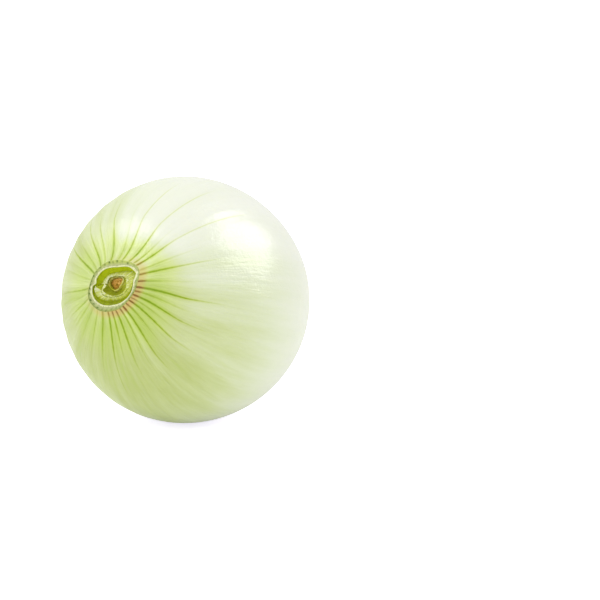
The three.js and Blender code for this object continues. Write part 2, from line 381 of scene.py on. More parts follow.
@dataclass(frozen=True)
class BulbForm:
    """The outer scale's form, in mm and degrees.

    Its main sizes are those of the part's solids. The veins' lean and the furrows are its own.
    """

    radius: float = 42.0  # at the widest level
    dome_height: float = 39.7  # half-height of the ellipse above the widest level
    base_depth: float = 43.7  # half-height of the ellipse below it
    out_of_round: float = 0.25  # how much wider it is along x, and narrower across
    neck_level: float = 39.6  # of the cut, above the widest level
    flare_reach: float = 2.6  # how fast the raised collar dies away from the ring
    oval_from: float = 52.0  # latitude where the round bulb starts to turn into the ring
    bend: float = 5.0  # how far the veins swing there, twice round
    twist: float = 1.0  # how far they are all turned together
    sway: float = 3.0  # how far they swing once round
    sway_turn: float = 120.0  # where the sway is greatest
    furrow_depth: float = 0.36
    hollow_depth: float = 6.5  # from the cut to the hollow's floor
    neck_reach: float = 11.0  # half the neck's longer way across
    neck_turn: float = 35.0  # where that way points
    ring: Outline = RING
    hollow_floor: Oval = Oval(-0.2, 0.3, 8.4, 5.8, 28)
    root_cut: float = 8.0  # radius of the sliced flat
    plate_radius: float = 5.4
    seat_depth: float = 1.6  # of the root plate's seat in the flat
    plate_proud: float = 0.5  # how far the plate stands out of the flat
    fit_gap: float = 0.3  # between two pieces
    neck_rise: float = 16.5  # how far the neck points up from level
    rest_flat: float = 0.45  # how deep the bulb is pressed flat where it rests
    inset: float = 0.06  # keeps the fine skin inside the faceted one

    @property
    def rim_latitude(self) -> float:
        """Latitude of the neck's rim, in radians: the neck's reach over the radius, as a cosine."""
        return math.acos(self.neck_reach / self.radius)

    @property
    def root_latitude(self) -> float:
        """Latitude of the sliced flat's edge, in radians."""
        return -math.acos(self.root_cut / self.radius)

    @property
    def root_level(self) -> float:
        """Height of the sliced flat."""
        return self.base_depth * math.sin(self.root_latitude)

    @property
    def floor_level(self) -> float:
        """Height of the hollow's floor."""
        return self.neck_level - self.hollow_depth

    def towards_neck(self, latitude: Array) -> Array:
        """0 on the round bulb and 1 at the neck's ring, by a smooth step in latitude."""
        return smoothstep(latitude, math.radians(self.oval_from), self.rim_latitude)

    def swung(self, latitude: Array, angle: Array) -> Array:
        """Where a column stands: turned by twist + bend sin 2(angle - turn) + sway by the neck.

        Args:
            latitude: Latitudes, in radians.
            angle: The column's own angle, in radians.

        Returns:
            The angle where it stands, in radians.
        """
        swing = self.twist + self.bend * np.sin(2 * (angle - math.radians(self.neck_turn)))
        swing = swing + self.sway * np.cos(angle - math.radians(self.sway_turn))
        return angle - np.radians(swing) * self.towards_neck(latitude)

    def skin(self, latitude: Array, columns: Columns, depth: Array) -> Array:
        """Points of the skin.

        Low down it is an ellipse of revolution, r = R cos(lat), z = H sin(lat). Near the neck the
        section turns into the neck's ring, and a collar that dies away as exp(-distance / reach)
        lifts it to the cut. A furrow lies along each vein.

        Args:
            latitude: Latitudes, as (rows, 1), in radians.
            columns: The columns round the bulb.
            depth: How deep the furrow is at each point, as (rows, columns).

        Returns:
            The points, as (rows, columns, 3).
        """
        angle = self.swung(latitude, columns.angles[None, :])
        near = self.towards_neck(latitude)
        rim_radius = self.ring.radius.at(angle)
        round_body = self.radius + self.out_of_round * np.cos(2 * angle)
        shape = mix(round_body, self.radius * rim_radius / self.neck_reach, near)
        r = (shape - self.inset) * np.cos(latitude) - depth * columns.furrow
        lift = self.neck_level - self.dome_height * math.sin(self.rim_latitude)
        away = np.maximum(0, r - rim_radius)
        collar = np.where(latitude > 0, lift * np.exp(-away / self.flare_reach), 0)
        height = np.where(latitude > 0, self.dome_height, self.base_depth)
        z = (height - self.inset) * np.sin(latitude) + collar
        x, y = (centre * near for centre in self.ring.centre)
        return np.stack([r * np.cos(angle) + x, r * np.sin(angle) + y, z], axis=-1)


def lay_down(form: BulbForm) -> Placement:
    """Placement of the bulb, from the frame.

    The bulb is an ellipsoid whose lowest point is pressed flat at height 0, and whose high y is the
    root end's. An ellipsoid reaches, in a direction, the hypot of its half-sizes, each times the
    direction's part along it.

    Args:
        form: The bulb's form.

    Returns:
        The placement.
    """
    rise = math.radians(form.neck_rise)
    narrow = form.radius - form.out_of_round
    down = math.hypot(narrow * math.cos(rise), form.base_depth * math.sin(rise))
    back = math.hypot(narrow * math.sin(rise), form.base_depth * math.cos(rise))
    high_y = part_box("bulb")[1].y / MM
    return Placement(form.neck_rise, np.array([0.0, high_y - back, down - form.rest_flat]))


# ---- meshes ----


class Ends(Enum):
    """How a stack of loops is closed."""

    FANS = "a fan to the middle of the first loop and of the last"
    RING = "the last loop joined to the first"


@dataclass
class Section:
    """A run of loops with one finish, and what is painted on its points."""

    points: Array  # (rows, columns, 3), own frame
    finish: int = 0  # number of its material in the piece's list
    paint: dict[str, Array] = field(default_factory=dict)  # a number or a vector on each point


class Skin:
    """A closed surface made of sections, one after the other."""

    def __init__(self, name: str, sections: list[Section], ends: Ends) -> None:
        """Keeps the sections.

        Args:
            name: Name of the piece.
            sections: Its sections. Loops turn anticlockwise seen from +z, and run up the outside.
            ends: How the stack is closed.
        """
        self.name = name
        self.sections = sections
        self.ends = ends
        self.points = np.concatenate([s.points for s in sections])
        self.rows, self.columns = self.points.shape[:2]

    def _faces(self) -> tuple[Array, Array, Array]:
        """Joins every loop to the next, and closes the ends.

        Returns:
            The corners of all faces in a row, and the size and the finish of each face.
        """
        here = np.arange(self.columns)
        there = np.roll(here, -1)
        last = self.rows if self.ends is Ends.RING else self.rows - 1
        low = np.arange(last)[:, None] * self.columns
        high = (np.arange(1, last + 1) % self.rows)[:, None] * self.columns
        quads = np.stack([low + here, low + there, high + there, high + here], axis=-1)
        counts = [len(section.points) for section in self.sections]
        row_finish = np.repeat([section.finish for section in self.sections], counts)
        corners, sizes = [quads.ravel()], [np.full(last * self.columns, 4)]
        finishes = [np.repeat(row_finish[(np.arange(last) + 1) % self.rows], self.columns)]
        if self.ends is Ends.FANS:
            middle = self.rows * self.columns
            top = (self.rows - 1) * self.columns
            fans = (
                np.stack([there, here, np.full_like(here, middle)], axis=-1),
                np.stack([top + here, top + there, np.full_like(here, middle + 1)], axis=-1),
            )
            corners += [fan.ravel() for fan in fans]
            sizes += [np.full(self.columns, 3)] * 2
            finishes += [np.full(self.columns, row_finish[end]) for end in (0, -1)]
        return np.concatenate(corners), np.concatenate(sizes), np.concatenate(finishes)

    def _listed(self, grid: Array) -> Array:
        """A grid's values, one for each point of the mesh.

        Args:
            grid: Values, as (rows, columns) or (rows, columns, 3).

        Returns:
            The values in a list. With fans, the means of the end loops follow for their middles.
        """
        listed = grid.reshape((-1,) + grid.shape[2:])
        if self.ends is Ends.FANS:
            listed = np.concatenate([listed, grid[:1].mean(axis=1), grid[-1:].mean(axis=1)])
        return listed

    def _painted(self, name: str) -> Array:
        """What is painted on each point of the mesh.

        Args:
            name: Name of the painted value.

        Returns:
            The values in a list, 0 where a section has none.
        """
        vector = any(s.paint[name].ndim == 3 for s in self.sections if name in s.paint)
        parts = []
        for section in self.sections:
            shape = section.points.shape if vector else section.points.shape[:2]
            parts.append(np.broadcast_to(section.paint.get(name, np.zeros(1)), shape))
        return self._listed(np.concatenate(parts))

    def build(self, placement: Placement, materials: list[bpy.types.Material]) -> bpy.types.Object:
        """Puts the surface into a mesh object.

        Args:
            placement: Where it lies.
            materials: The material of each finish number.

        Returns:
            The object, at the origin, with its place in its mesh.
        """
        placed = placement.place(self._listed(self.points))
        placed[:, 2] = np.maximum(placed[:, 2], 0.0)
        corners, sizes, finishes = self._faces()
        starts = np.cumsum(sizes) - sizes
        mesh = bpy.data.meshes.new(self.name)
        mesh.vertices.add(len(placed))
        mesh.vertices.foreach_set("co", placed.ravel())
        mesh.loops.add(len(corners))
        mesh.loops.foreach_set("vertex_index", corners.astype(np.int32))
        mesh.polygons.add(len(sizes))
        mesh.polygons.foreach_set("loop_start", starts.astype(np.int32))
        mesh.polygons.foreach_set("material_index", finishes.astype(np.int32))
        mesh.polygons.foreach_set("use_smooth", np.ones(len(sizes), bool))
        mesh.update(calc_edges=True)
        for name in sorted({key for section in self.sections for key in section.paint}):
            values = self._painted(name)
            kind, part = ("FLOAT_VECTOR", "vector") if values.ndim == 2 else ("FLOAT", "value")
            layer = mesh.attributes.new(name, kind, "POINT")
            layer.data.foreach_set(part, values.astype(np.float32).ravel())
        mesh.validate()
        for material in materials:
            mesh.materials.append(material)
        piece = bpy.data.objects.new(self.name, mesh)
        bpy.context.scene.collection.objects.link(piece)
        log.info("%s: %d points, %d faces", self.name, len(placed), len(sizes))
        return piece


# ---- node graphs ----


class Graph:
    """A material's node graph, with a short call for each kind of node that the finishes use."""

    def __init__(self, name: str) -> None:
        """Starts an empty material.

        Args:
            name: The material's name.
        """
        self.material = bpy.data.materials.new(name)
        self.material.use_nodes = True
        self.tree = self.material.node_tree
        self.tree.nodes.clear()

    def feed(self, socket: Socket, value: Socket | float | Colour) -> None:
        """Links a socket to another, or sets its value.

        Args:
            socket: The input.
            value: An output to link, a number, or a colour of three channels.
        """
        if isinstance(value, bpy.types.NodeSocket):
            self.tree.links.new(value, socket)
        elif isinstance(value, tuple) and socket.type == "RGBA":
            socket.default_value = (*value, 1.0)
        else:
            socket.default_value = value

    def add(self, kind: str, inputs: dict[str | int, object], **settings: object) -> bpy.types.Node:
        """Adds a node.

        Args:
            kind: Blender's name of the node type.
            inputs: Values or links for its inputs, by name or number.
            settings: Values for its own settings.

        Returns:
            The node.
        """
        node = self.tree.nodes.new(kind)
        for key, value in settings.items():
            setattr(node, key, value)
        for key, value in inputs.items():
            self.feed(node.inputs[key], value)
        return node

    def value(self, name: str) -> Socket:
        """A number painted on the mesh."""
        return self.add("ShaderNodeAttribute", {}, attribute_name=name).outputs["Fac"]

    def vector(self, name: str) -> Socket:
        """A vector painted on the mesh."""
        return self.add("ShaderNodeAttribute", {}, attribute_name=name).outputs["Vector"]

    def place(self) -> Socket:
        """The point itself, in metres."""
        return self.add("ShaderNodeTexCoord", {}).outputs["Object"]

    def math(self, how: str, a: Socket | float, b: Socket | float = 0.0) -> Socket:
        """One step of arithmetic on two numbers."""
        return self.add("ShaderNodeMath", {0: a, 1: b}, operation=how).outputs[0]

    def times(self, a: Socket | float, b: Socket | float) -> Socket:
        """Product of two numbers."""
        return self.math("MULTIPLY", a, b)

    def plus(self, a: Socket | float, b: Socket | float) -> Socket:
        """Sum of two numbers."""
        return self.math("ADD", a, b)

    def swing(self, noise: Socket, size: Socket | float) -> Socket:
        """Noise centred on 0 and scaled: (noise - 0.5) times the size."""
        return self.times(self.math("SUBTRACT", noise, 0.5), size)

    def full(self, x: Socket) -> Socket:
        """A number kept at 1 or less."""
        return self.math("MINIMUM", x, 1.0)

    def ramp(
        self, x: Socket, low: float, high: float, start: float = 0.0, stop: float = 1.0
    ) -> Socket:
        """Smooth ramp in a number.

        Args:
            x: The number.
            low: Its value where the ramp starts.
            high: Its value where the ramp stops.
            start: What the ramp gives at low.
            stop: What it gives at high.

        Returns:
            The ramp's value.
        """
        inputs = {"Value": x, "From Min": low, "From Max": high, "To Min": start, "To Max": stop}
        node = self.add("ShaderNodeMapRange", inputs, interpolation_type="SMOOTHSTEP")
        return node.outputs["Result"]

    def line(self, distance: Socket, width: float) -> Socket:
        """1 on a line and less beside it: exp(-(distance / width)^2)."""
        share = self.math("DIVIDE", distance, width)
        return self.math("EXPONENT", self.times(self.times(share, share), -1.0))

    def noise(
        self, where: Socket, scale: float, detail: float = 2.0, roughness: float = 0.5
    ) -> Socket:
        """Cloudy noise from 0 to 1 that varies scale times in each unit."""
        inputs = {"Vector": where, "Scale": scale, "Detail": detail, "Roughness": roughness}
        return self.add("ShaderNodeTexNoise", inputs).outputs["Fac"]

    def stretched(self, where: Socket, x: float, y: float, z: float) -> Socket:
        """A vector with each part scaled."""
        inputs = {"Vector": where, "Scale": (x, y, z)}
        return self.add("ShaderNodeMapping", inputs).outputs["Vector"]

    def blend(
        self, share: Socket | float, a: Socket | Colour, b: Socket | Colour, how: str = "MIX"
    ) -> Socket:
        """Colour that lies share of the way from a to b, or to what a way of blending makes.

        Args:
            share: How far to go, 0 to 1.
            a: The first colour.
            b: The second colour.
            how: Blender's name of the way of blending.

        Returns:
            The colour.
        """
        inputs = {0: share, 6: a, 7: b}  # the Mix node's own numbers for a share and two colours
        node = self.add("ShaderNodeMix", inputs, data_type="RGBA", blend_type=how)
        return node.outputs[2]

    def stain(self, amount: Socket | float, base: Socket, tint: Socket | Colour) -> Socket:
        """Colour seen through a stain: base at amount 0, and base times the tint at amount 1."""
        return self.blend(amount, base, tint, "MULTIPLY")

    def shade(self, colour: Socket, factor: Socket) -> Socket:
        """Colour made lighter or darker by a factor."""
        grey = self.add("ShaderNodeCombineColor", {0: factor, 1: factor, 2: factor}).outputs[0]
        return self.stain(1.0, colour, grey)

    def stops(self, x: Socket, stops: Stops) -> Socket:
        """Colour that runs through given colours as x goes from 0 to 1.

        Args:
            x: The number.
            stops: The colours and their places.

        Returns:
            The colour.
        """
        node = self.add("ShaderNodeValToRGB", {0: x})
        elements = node.color_ramp.elements
        while len(elements) < len(stops):
            elements.new(0.5)
        for element, (place, colour) in zip(elements, stops):
            element.position = place
            element.color = (*colour, 1.0)
        return node.outputs[0]

    def relief(self, height: Socket, millimetres: float) -> Socket:
        """Normal of a surface raised by height times so many millimetres."""
        inputs = {"Height": height, "Strength": 1.0, "Distance": millimetres * MM}
        return self.add("ShaderNodeBump", inputs).outputs[0]

    def finish(self, shader: dict[str, object]) -> bpy.types.Material:
        """Ends the graph with the main shader.

        Args:
            shader: Values or links for the shader's inputs, by name.

        Returns:
            The material.
        """
        end = self.add("ShaderNodeBsdfPrincipled", shader)
        self.add("ShaderNodeOutputMaterial", {"Surface": end.outputs[0]})
        return self.material


@dataclass(frozen=True)
class Flesh:
    """How the moist flesh takes the light."""

    gloss: float = 0.4  # roughness under the wet film
    shine: float = 0.5  # how strongly it mirrors
    film: float = 0.0  # weight of the smooth film on top
    film_gloss: float = 0.2  # roughness of that film
    glow: float = 0.2  # how much light sinks in
    glow_reach: float = 2.0  # mm that it travels
    glow_tint: Colour = (1.0, 0.9, 0.45)  # how far each colour of it travels, as a share
    bending: float = 1.42  # index of refraction

    def shader(self, colour: Socket, normal: Socket) -> dict[str, object]:
        """Inputs of the main shader for a colour and a relief."""
        return {
            "Base Color": colour,
            "Roughness": self.gloss,
            "Normal": normal,
            "Specular IOR Level": self.shine,
            "Coat Weight": self.film,
            "Coat Roughness": self.film_gloss,
            "Coat Normal": normal,
            "Subsurface Weight": self.glow,
            "Subsurface Radius": self.glow_tint,
            "Subsurface Scale": self.glow_reach * MM,
            "IOR": self.bending,
        }


@dataclass(frozen=True)
class SkinFinish:
    """Glossy white skin that turns green towards the neck, with its green veins."""

    dull: Stops = shades(
        (0.0, "EFF1E4"), (0.25, "E1E8C8"), (0.5, "D0DAA0"), (0.75, "BFCB80"), (1.0, "B4CA58")
    )  # on the side, as the painted green goes from 0 to 1
    fresh: Stops = shades(
        (0.0, "EFF1E4"), (0.25, "E1E8C8"), (0.5, "D9E69A"), (0.75, "C3D578"), (1.0, "B4CA58")
    )  # and by the neck
    vein: Colour = (0.44, 0.56, 0.0)  # what a full vein lets through
    vein_spread: float = 0.85  # reach of its ink, in painted gaps
    vein_strength: float = 1.45
    haze: Colour = (0.94, 0.98, 0.4)  # what the flesh beside it lets through
    haze_spread: float = 1.8
    haze_strength: float = 1.5
    scorched: Colour = linear("8E6624")
    scorch_spread: float = 0.9
    scorch_strength: float = 1.5
    waver: float = 0.8  # how far a vein's edges waver, in painted gaps
    tan: Colour = linear("DFBC74")
    raised: float = 0.15  # mm of relief
    flesh: Flesh = Flesh(gloss=0.45, shine=0.1, film=0.45, film_gloss=0.24, glow=0.08)

    def material(self) -> bpy.types.Material:
        """Builds the material from the painted green, fresh, gap, ink, scorch, tan and grain.

        Veins are drawn where the gap to them is small: line(gap) times their ink.

        Returns:
            The material.
        """
        g = Graph("skin")
        green, ink = g.value("green"), g.value("ink")
        fibre = g.noise(g.vector("grain"), 1.0, 3.0, 0.6)
        band = g.noise(g.stretched(g.vector("grain"), 0.2, 0.2, 0.3), 1.0, 1.0)
        drift = g.swing(band, g.ramp(green, 0.0, 0.6, 0.15, 0.7))
        streak = g.swing(fibre, g.ramp(green, 0.0, 0.8, 0.08, 0.4))
        tone = g.plus(green, g.plus(drift, streak))
        base = g.blend(g.value("fresh"), g.stops(tone, self.dull), g.stops(tone, self.fresh))
        gap = g.plus(g.value("gap"), g.swing(g.noise(g.place(), 700.0, 1.0), self.waver))
        haze = g.times(g.line(gap, self.haze_spread), g.full(g.times(ink, self.haze_strength)))
        vein = g.times(g.line(gap, self.vein_spread), g.times(ink, self.vein_strength))
        veined = g.stain(g.full(vein), g.stain(haze, base, self.haze), self.vein)
        patchy = g.ramp(fibre, 0.3, 0.6, 0.65, 1.0)
        tanned = g.blend(g.times(g.value("tan"), patchy), veined, self.tan)
        scorch = g.times(g.value("scorch"), self.scorch_strength)
        burnt = g.full(g.times(g.line(gap, self.scorch_spread), scorch))
        colour = g.blend(burnt, tanned, self.scorched)
        pores = g.times(g.noise(g.place(), 260.0, 4.0, 0.7), 1.6)
        ridges = g.times(fibre, g.ramp(green, 0.0, 0.7, 0.5, 3.4))
        normal = g.relief(g.plus(ridges, pores), self.raised)
        return g.finish(self.flesh.shader(colour, normal))


@dataclass(frozen=True)
class CutFinish:
    """The knife's cut across a scale: firm green edge, dark dots, paler flesh, white inner lip."""

    tones: Stops = shades(
        (0.0, "A2AB4C"), (0.25, "A4B066"), (0.62, "B7BD84"), (0.8, "B7BD84"), (0.87, "E2E4B6")
    )  # from the outer edge to the lip
    moss: Colour = linear("C4D06A")
    dot: Colour = linear("4E6A14")
    flesh: Flesh = Flesh(gloss=0.5, shine=0.3, glow_reach=1.0)

    def material(self) -> bpy.types.Material:
        """Builds the material from the painted across (0 at the outer edge), moss and dot.

        Returns:
            The material.
        """
        g = Graph("cut")
        speckle = g.noise(g.place(), 1500.0, 3.0, 0.6)
        patch = g.swing(g.ramp(speckle, 0.35, 0.65), 1.0)
        across = g.plus(g.value("across"), g.times(patch, 0.08))
        mossy = g.blend(g.value("moss"), g.stops(across, self.tones), self.moss)
        mottled = g.shade(mossy, g.plus(1.0, g.times(patch, 0.16)))
        dotted = g.full(g.times(g.value("dot"), g.plus(1.3, patch)))
        colour = g.blend(dotted, mottled, self.dot)
        return g.finish(self.flesh.shader(colour, g.relief(speckle, 0.12)))


@dataclass(frozen=True)
class ToneFinish:
    """Flesh of a face inside the neck, coloured by a painted tone from deep (0) to bright (1): its
    own colour, with painted shade deep in the hollow and painted light where the face is lit.
    """

    name: str
    tones: Stops
    streak: float  # how far the lengthwise streaks shift the tone
    dot: Colour = linear("76882A")
    flesh: Flesh = Flesh(gloss=0.5, shine=0.15, glow=0.4, glow_reach=2.5)

    def material(self) -> bpy.types.Material:
        """Builds the material from the painted tone, dot and grain.

        Returns:
            The material.
        """
        g = Graph(self.name)
        fibre = g.ramp(g.noise(g.vector("grain"), 1.0, 3.0, 0.6), 0.32, 0.68)
        base = g.stops(g.plus(g.value("tone"), g.swing(fibre, 2 * self.streak)), self.tones)
        speckle = g.ramp(g.noise(g.place(), 1700.0, 2.0), 0.3, 0.6)
        colour = g.blend(g.times(g.value("dot"), speckle), base, self.dot)
        return g.finish(self.flesh.shader(colour, g.relief(fibre, 0.08)))


@dataclass(frozen=True)
class WitheredFinish:
    """Dry brown shoot tip, with painted shade in its creases."""

    tones: Stops = shades((0.0, "DDB462"), (0.35, "C69238"), (0.65, "A27C1E"), (1.0, "6E6A0C"))

    def material(self) -> bpy.types.Material:
        """Builds the material from the painted browning and shade, 0 where it is lightest.

        Returns:
            The material.
        """
        g = Graph("withered")
        grit = g.noise(g.place(), 1300.0, 4.0, 0.65)
        base = g.stops(g.plus(g.value("burn"), g.swing(grit, 2.4)), self.tones)
        matt = {"Roughness": 0.7, "Specular IOR Level": 0.2}
        return g.finish({"Base Color": base, "Normal": g.relief(grit, 0.25), **matt})


@dataclass(frozen=True)
class CorkFinish:
    """Corky root plate, with paler cut ends."""

    cork: Colour = linear("CDAA74")
    shadow: Colour = linear("8E6B3C")
    pith: Colour = linear("EAD9B4")

    def material(self) -> bpy.types.Material:
        """Builds the material from the painted pith, 1 on a cut end.

        Returns:
            The material.
        """
        g = Graph("cork")
        grit = g.noise(g.place(), 1300.0, 4.0, 0.7)
        coarse = g.noise(g.place(), 420.0, 2.0)
        base = g.blend(g.ramp(grit, 0.35, 0.7), self.shadow, self.cork)
        warm = g.blend(g.times(coarse, 0.5), base, self.pith)
        colour = g.blend(g.value("pith"), warm, self.pith)
        normal = g.relief(grit, 0.3)
        return g.finish({"Base Color": colour, "Roughness": 0.85, "Normal": normal})


@dataclass(frozen=True)
class SliceFinish:
    """Cream flat where the roots were sliced off."""

    cream: Colour = linear("F4EFD8")
    ring: Colour = linear("E3D3A6")

    def material(self) -> bpy.types.Material:
        """Builds the material from the painted across (0 at the plate, 1 at the skin).

        Returns:
            The material.
        """
        g = Graph("root_slice")
        speckle = g.noise(g.place(), 900.0, 3.0, 0.6)
        wave = g.math("SINE", g.times(g.value("across"), 22.0))
        tone = g.plus(g.times(wave, 0.18), g.times(speckle, 0.5))
        colour = g.blend(g.ramp(tone, 0.0, 0.6), self.cream, self.ring)
        return g.finish(Flesh(gloss=0.5).shader(colour, g.relief(speckle, 0.1)))


# ---- the pieces ----


def grain_of(angle: Array, along: Array, pitch: float, run: float) -> Array:
    """Vector for streaks that run lengthwise: fast round the axis and slow along it.

    Args:
        angle: Angle of each point, in radians.
        along: How far along the piece it is, in mm.
        pitch: Angle of one streak, in degrees.
        run: Length of one streak, in mm.

    Returns:
        (cos / pitch, sin / pitch, along / run), so that it closes round the axis.
    """
    k = 1 / math.radians(pitch)
    parts = np.broadcast_arrays(k * np.cos(angle), k * np.sin(angle), along / run)
    return np.stack(parts, axis=-1)


def full_turn(columns: int) -> Array:
    """Evenly spaced angles round the axis, in radians."""
    return np.arange(columns) / columns * TURN


@dataclass(frozen=True)
class NeckLines:
    """The lines that shape the cut neck, each round its own centre."""

    mouth: Outline = Outline(
        (0, 0),
        Around(
            (
                (3, 7.3), (17, 7.55), (23, 7.75), (29, 8.65), (35, 9.6), (38, 9.6), (45, 9.1),
                (55, 8.75), (65, 8), (76, 7.2), (89, 6.65), (99, 6.55), (117, 6.8), (136, 7.4),
                (150, 7.75), (168, 8.05), (179, 7.6), (184, 9), (197, 9.15), (211, 8.85),
                (221, 8.35), (239, 7.35), (255, 6.5), (277, 5.8), (297, 5.8), (322, 6.1),
                (343, 6.75),
            ),
            rounding=2.0,
        ),
        0.15,
    )
    lip: Around = Around(
        (
            (0, 0.5), (18, 0.7), (27, 1.1), (40, 1.1), (50, 0.7), (65, 0.45), (170, 0.5),
            (230, 0.6),
        )
    )  # width of the white lip, mm
    shoulder: Outline = Outline(
        (-0.7, 0.3),
        Around(
            (
                (7, 7.45), (18, 7.8), (30, 8.3), (38, 8.4), (42, 8.35), (48, 7.8), (55, 7.05),
                (66, 6.05), (77, 5.35), (89, 4.9), (104, 4.72), (119, 4.77), (133, 5.1),
                (150, 5.47), (162, 5.7), (175, 5.95), (180, 6.3), (186, 7.3), (190, 7.75),
                (201, 7.85), (209, 7.7), (220, 7.15), (231, 6.45), (243, 5.7), (262, 4.85),
                (287, 4.6), (309, 4.9), (324, 5.3), (337, 5.8), (348, 6.3), (359, 7.05),
            ),
            rounding=2.0,
        ),
        Around(
            (
                (0, 0.8), (7, 0.6), (18, 0.6), (30, 1.4), (38, 2), (48, 2.2), (177, 2.2),
                (188, 0.6), (192, 0.45), (209, 0.8), (231, 1.5), (262, 2), (287, 1.9), (324, 1.5),
                (348, 1.1),
            ),
            rounding=1.5,
        ),
    )
    crease: Outline = Outline(
        (-0.7, 0.3),
        Around(
            (
                (0, 5.7), (7, 6.15), (12, 6.3), (20, 5.95), (35, 5.8), (50, 5.35), (63, 4.6),
                (86, 3.75), (114, 3.8), (130, 4.1), (151, 4.15), (172, 4.25), (185, 4.9),
                (196, 5.5), (209, 5.7), (217, 5.5), (225, 5.1), (238, 4.4), (254, 3.95),
                (269, 3.55), (282, 3.4), (302, 3.5), (321, 4), (338, 4.6), (351, 5.05),
            )
        ),
        Around(((10, 0.95), (40, 1.3), (260, 1.4), (320, 1.3), (350, 1.1))),
    )
    rim: Outline = Outline(
        (-0.7, 0.3),
        Around(
            (
                (8, 4.5), (21, 4.55), (32, 4.95), (41, 5.1), (50, 4.75), (63, 4), (86, 3.3),
                (114, 3.35), (135, 3.7), (151, 3.6), (170, 3.4), (178, 4), (186, 3.65), (193, 3.65),
                (196, 4.8), (205, 4.9), (217, 4.45), (232, 3.65), (254, 3.3), (276, 3.1),
                (291, 3.05), (306, 3.25), (319, 3.5), (340, 3.95), (356, 4.4),
            ),
            rounding=1.5,
        ),
        1.3,
    )
    heart: Outline = Outline(
        (-0.7, 0.6),
        Around(
            (
                (2, 1.45), (22, 2.1), (32, 2.8), (38, 3.4), (46, 3.9), (59, 3.65), (82, 3.0),
                (117, 2.9), (140, 3.25), (154, 3.35), (170, 3.25), (187, 3.1), (199, 2.75),
                (217, 2.3), (239, 2.0), (264, 1.9), (290, 1.6), (325, 1.3),
            )
        ),
        Around(((25, 2.3), (50, 1.8), (180, 1.9), (215, 2.3))),
    )
    tip: Outline = Outline(
        (-0.7, 0.6),
        Around(
            (
                (11, 0.6), (30, 0.9), (45, 1.5), (50, 2.5), (57, 3.1), (74, 2.75), (111, 2.6),
                (146, 3.0), (159, 3.15), (171, 3.05), (183, 2.8), (196, 2.45), (214, 1.95),
                (238, 1.5), (257, 0.9), (320, 0.6),
            )
        ),
        3.0,
    )

    def crevice(self, angle: Array, level: float, grow: float, lift: float) -> Array:
        """Where the hollow's wall meets the inner scale, close under the scale's shoulder.

        Args:
            angle: Angles, in radians.
            level: Height of the cut.
            grow: How far to move the line outwards.
            lift: How far to raise it.

        Returns:
            The points, as (angles, 3).
        """
        loop = self.shoulder.loop(angle, level, grow, lift)
        loop[:, 2] = np.minimum(loop[:, 2], level - 1.0 + lift)
        return loop


# Dark ends of the veins in the ring of the cut: (degrees, share of the way across, darkness).
RING_DOTS = (
    (6, 0.2, 0.6), (20, 0.6, 0.5), (34, 0.2, 0.3), (48, 0.25, 0.3), (63, 0.35, 0.6),
    (77, 0.2, 0.35), (91, 0.2, 0.7), (103, 0.3, 0.4), (113, 0.2, 0.8), (127, 0.25, 0.5),
    (141, 0.15, 0.7), (153, 0.2, 0.5), (165, 0.2, 0.9), (177, 0.08, 0.9), (184, 0.25, 0.7),
    (191, 0.38, 0.9), (201, 0.38, 0.8), (214, 0.32, 1.0), (224, 0.38, 0.7), (237, 0.28, 0.7),
    (249, 0.3, 0.4), (261, 0.15, 0.6), (275, 0.35, 0.4), (290, 0.4, 0.35), (302, 0.3, 0.3),
    (313, 0.5, 0.5), (325, 0.4, 0.3), (336, 0.3, 0.6), (345, 0.4, 0.3), (352, 0.25, 0.6),
)


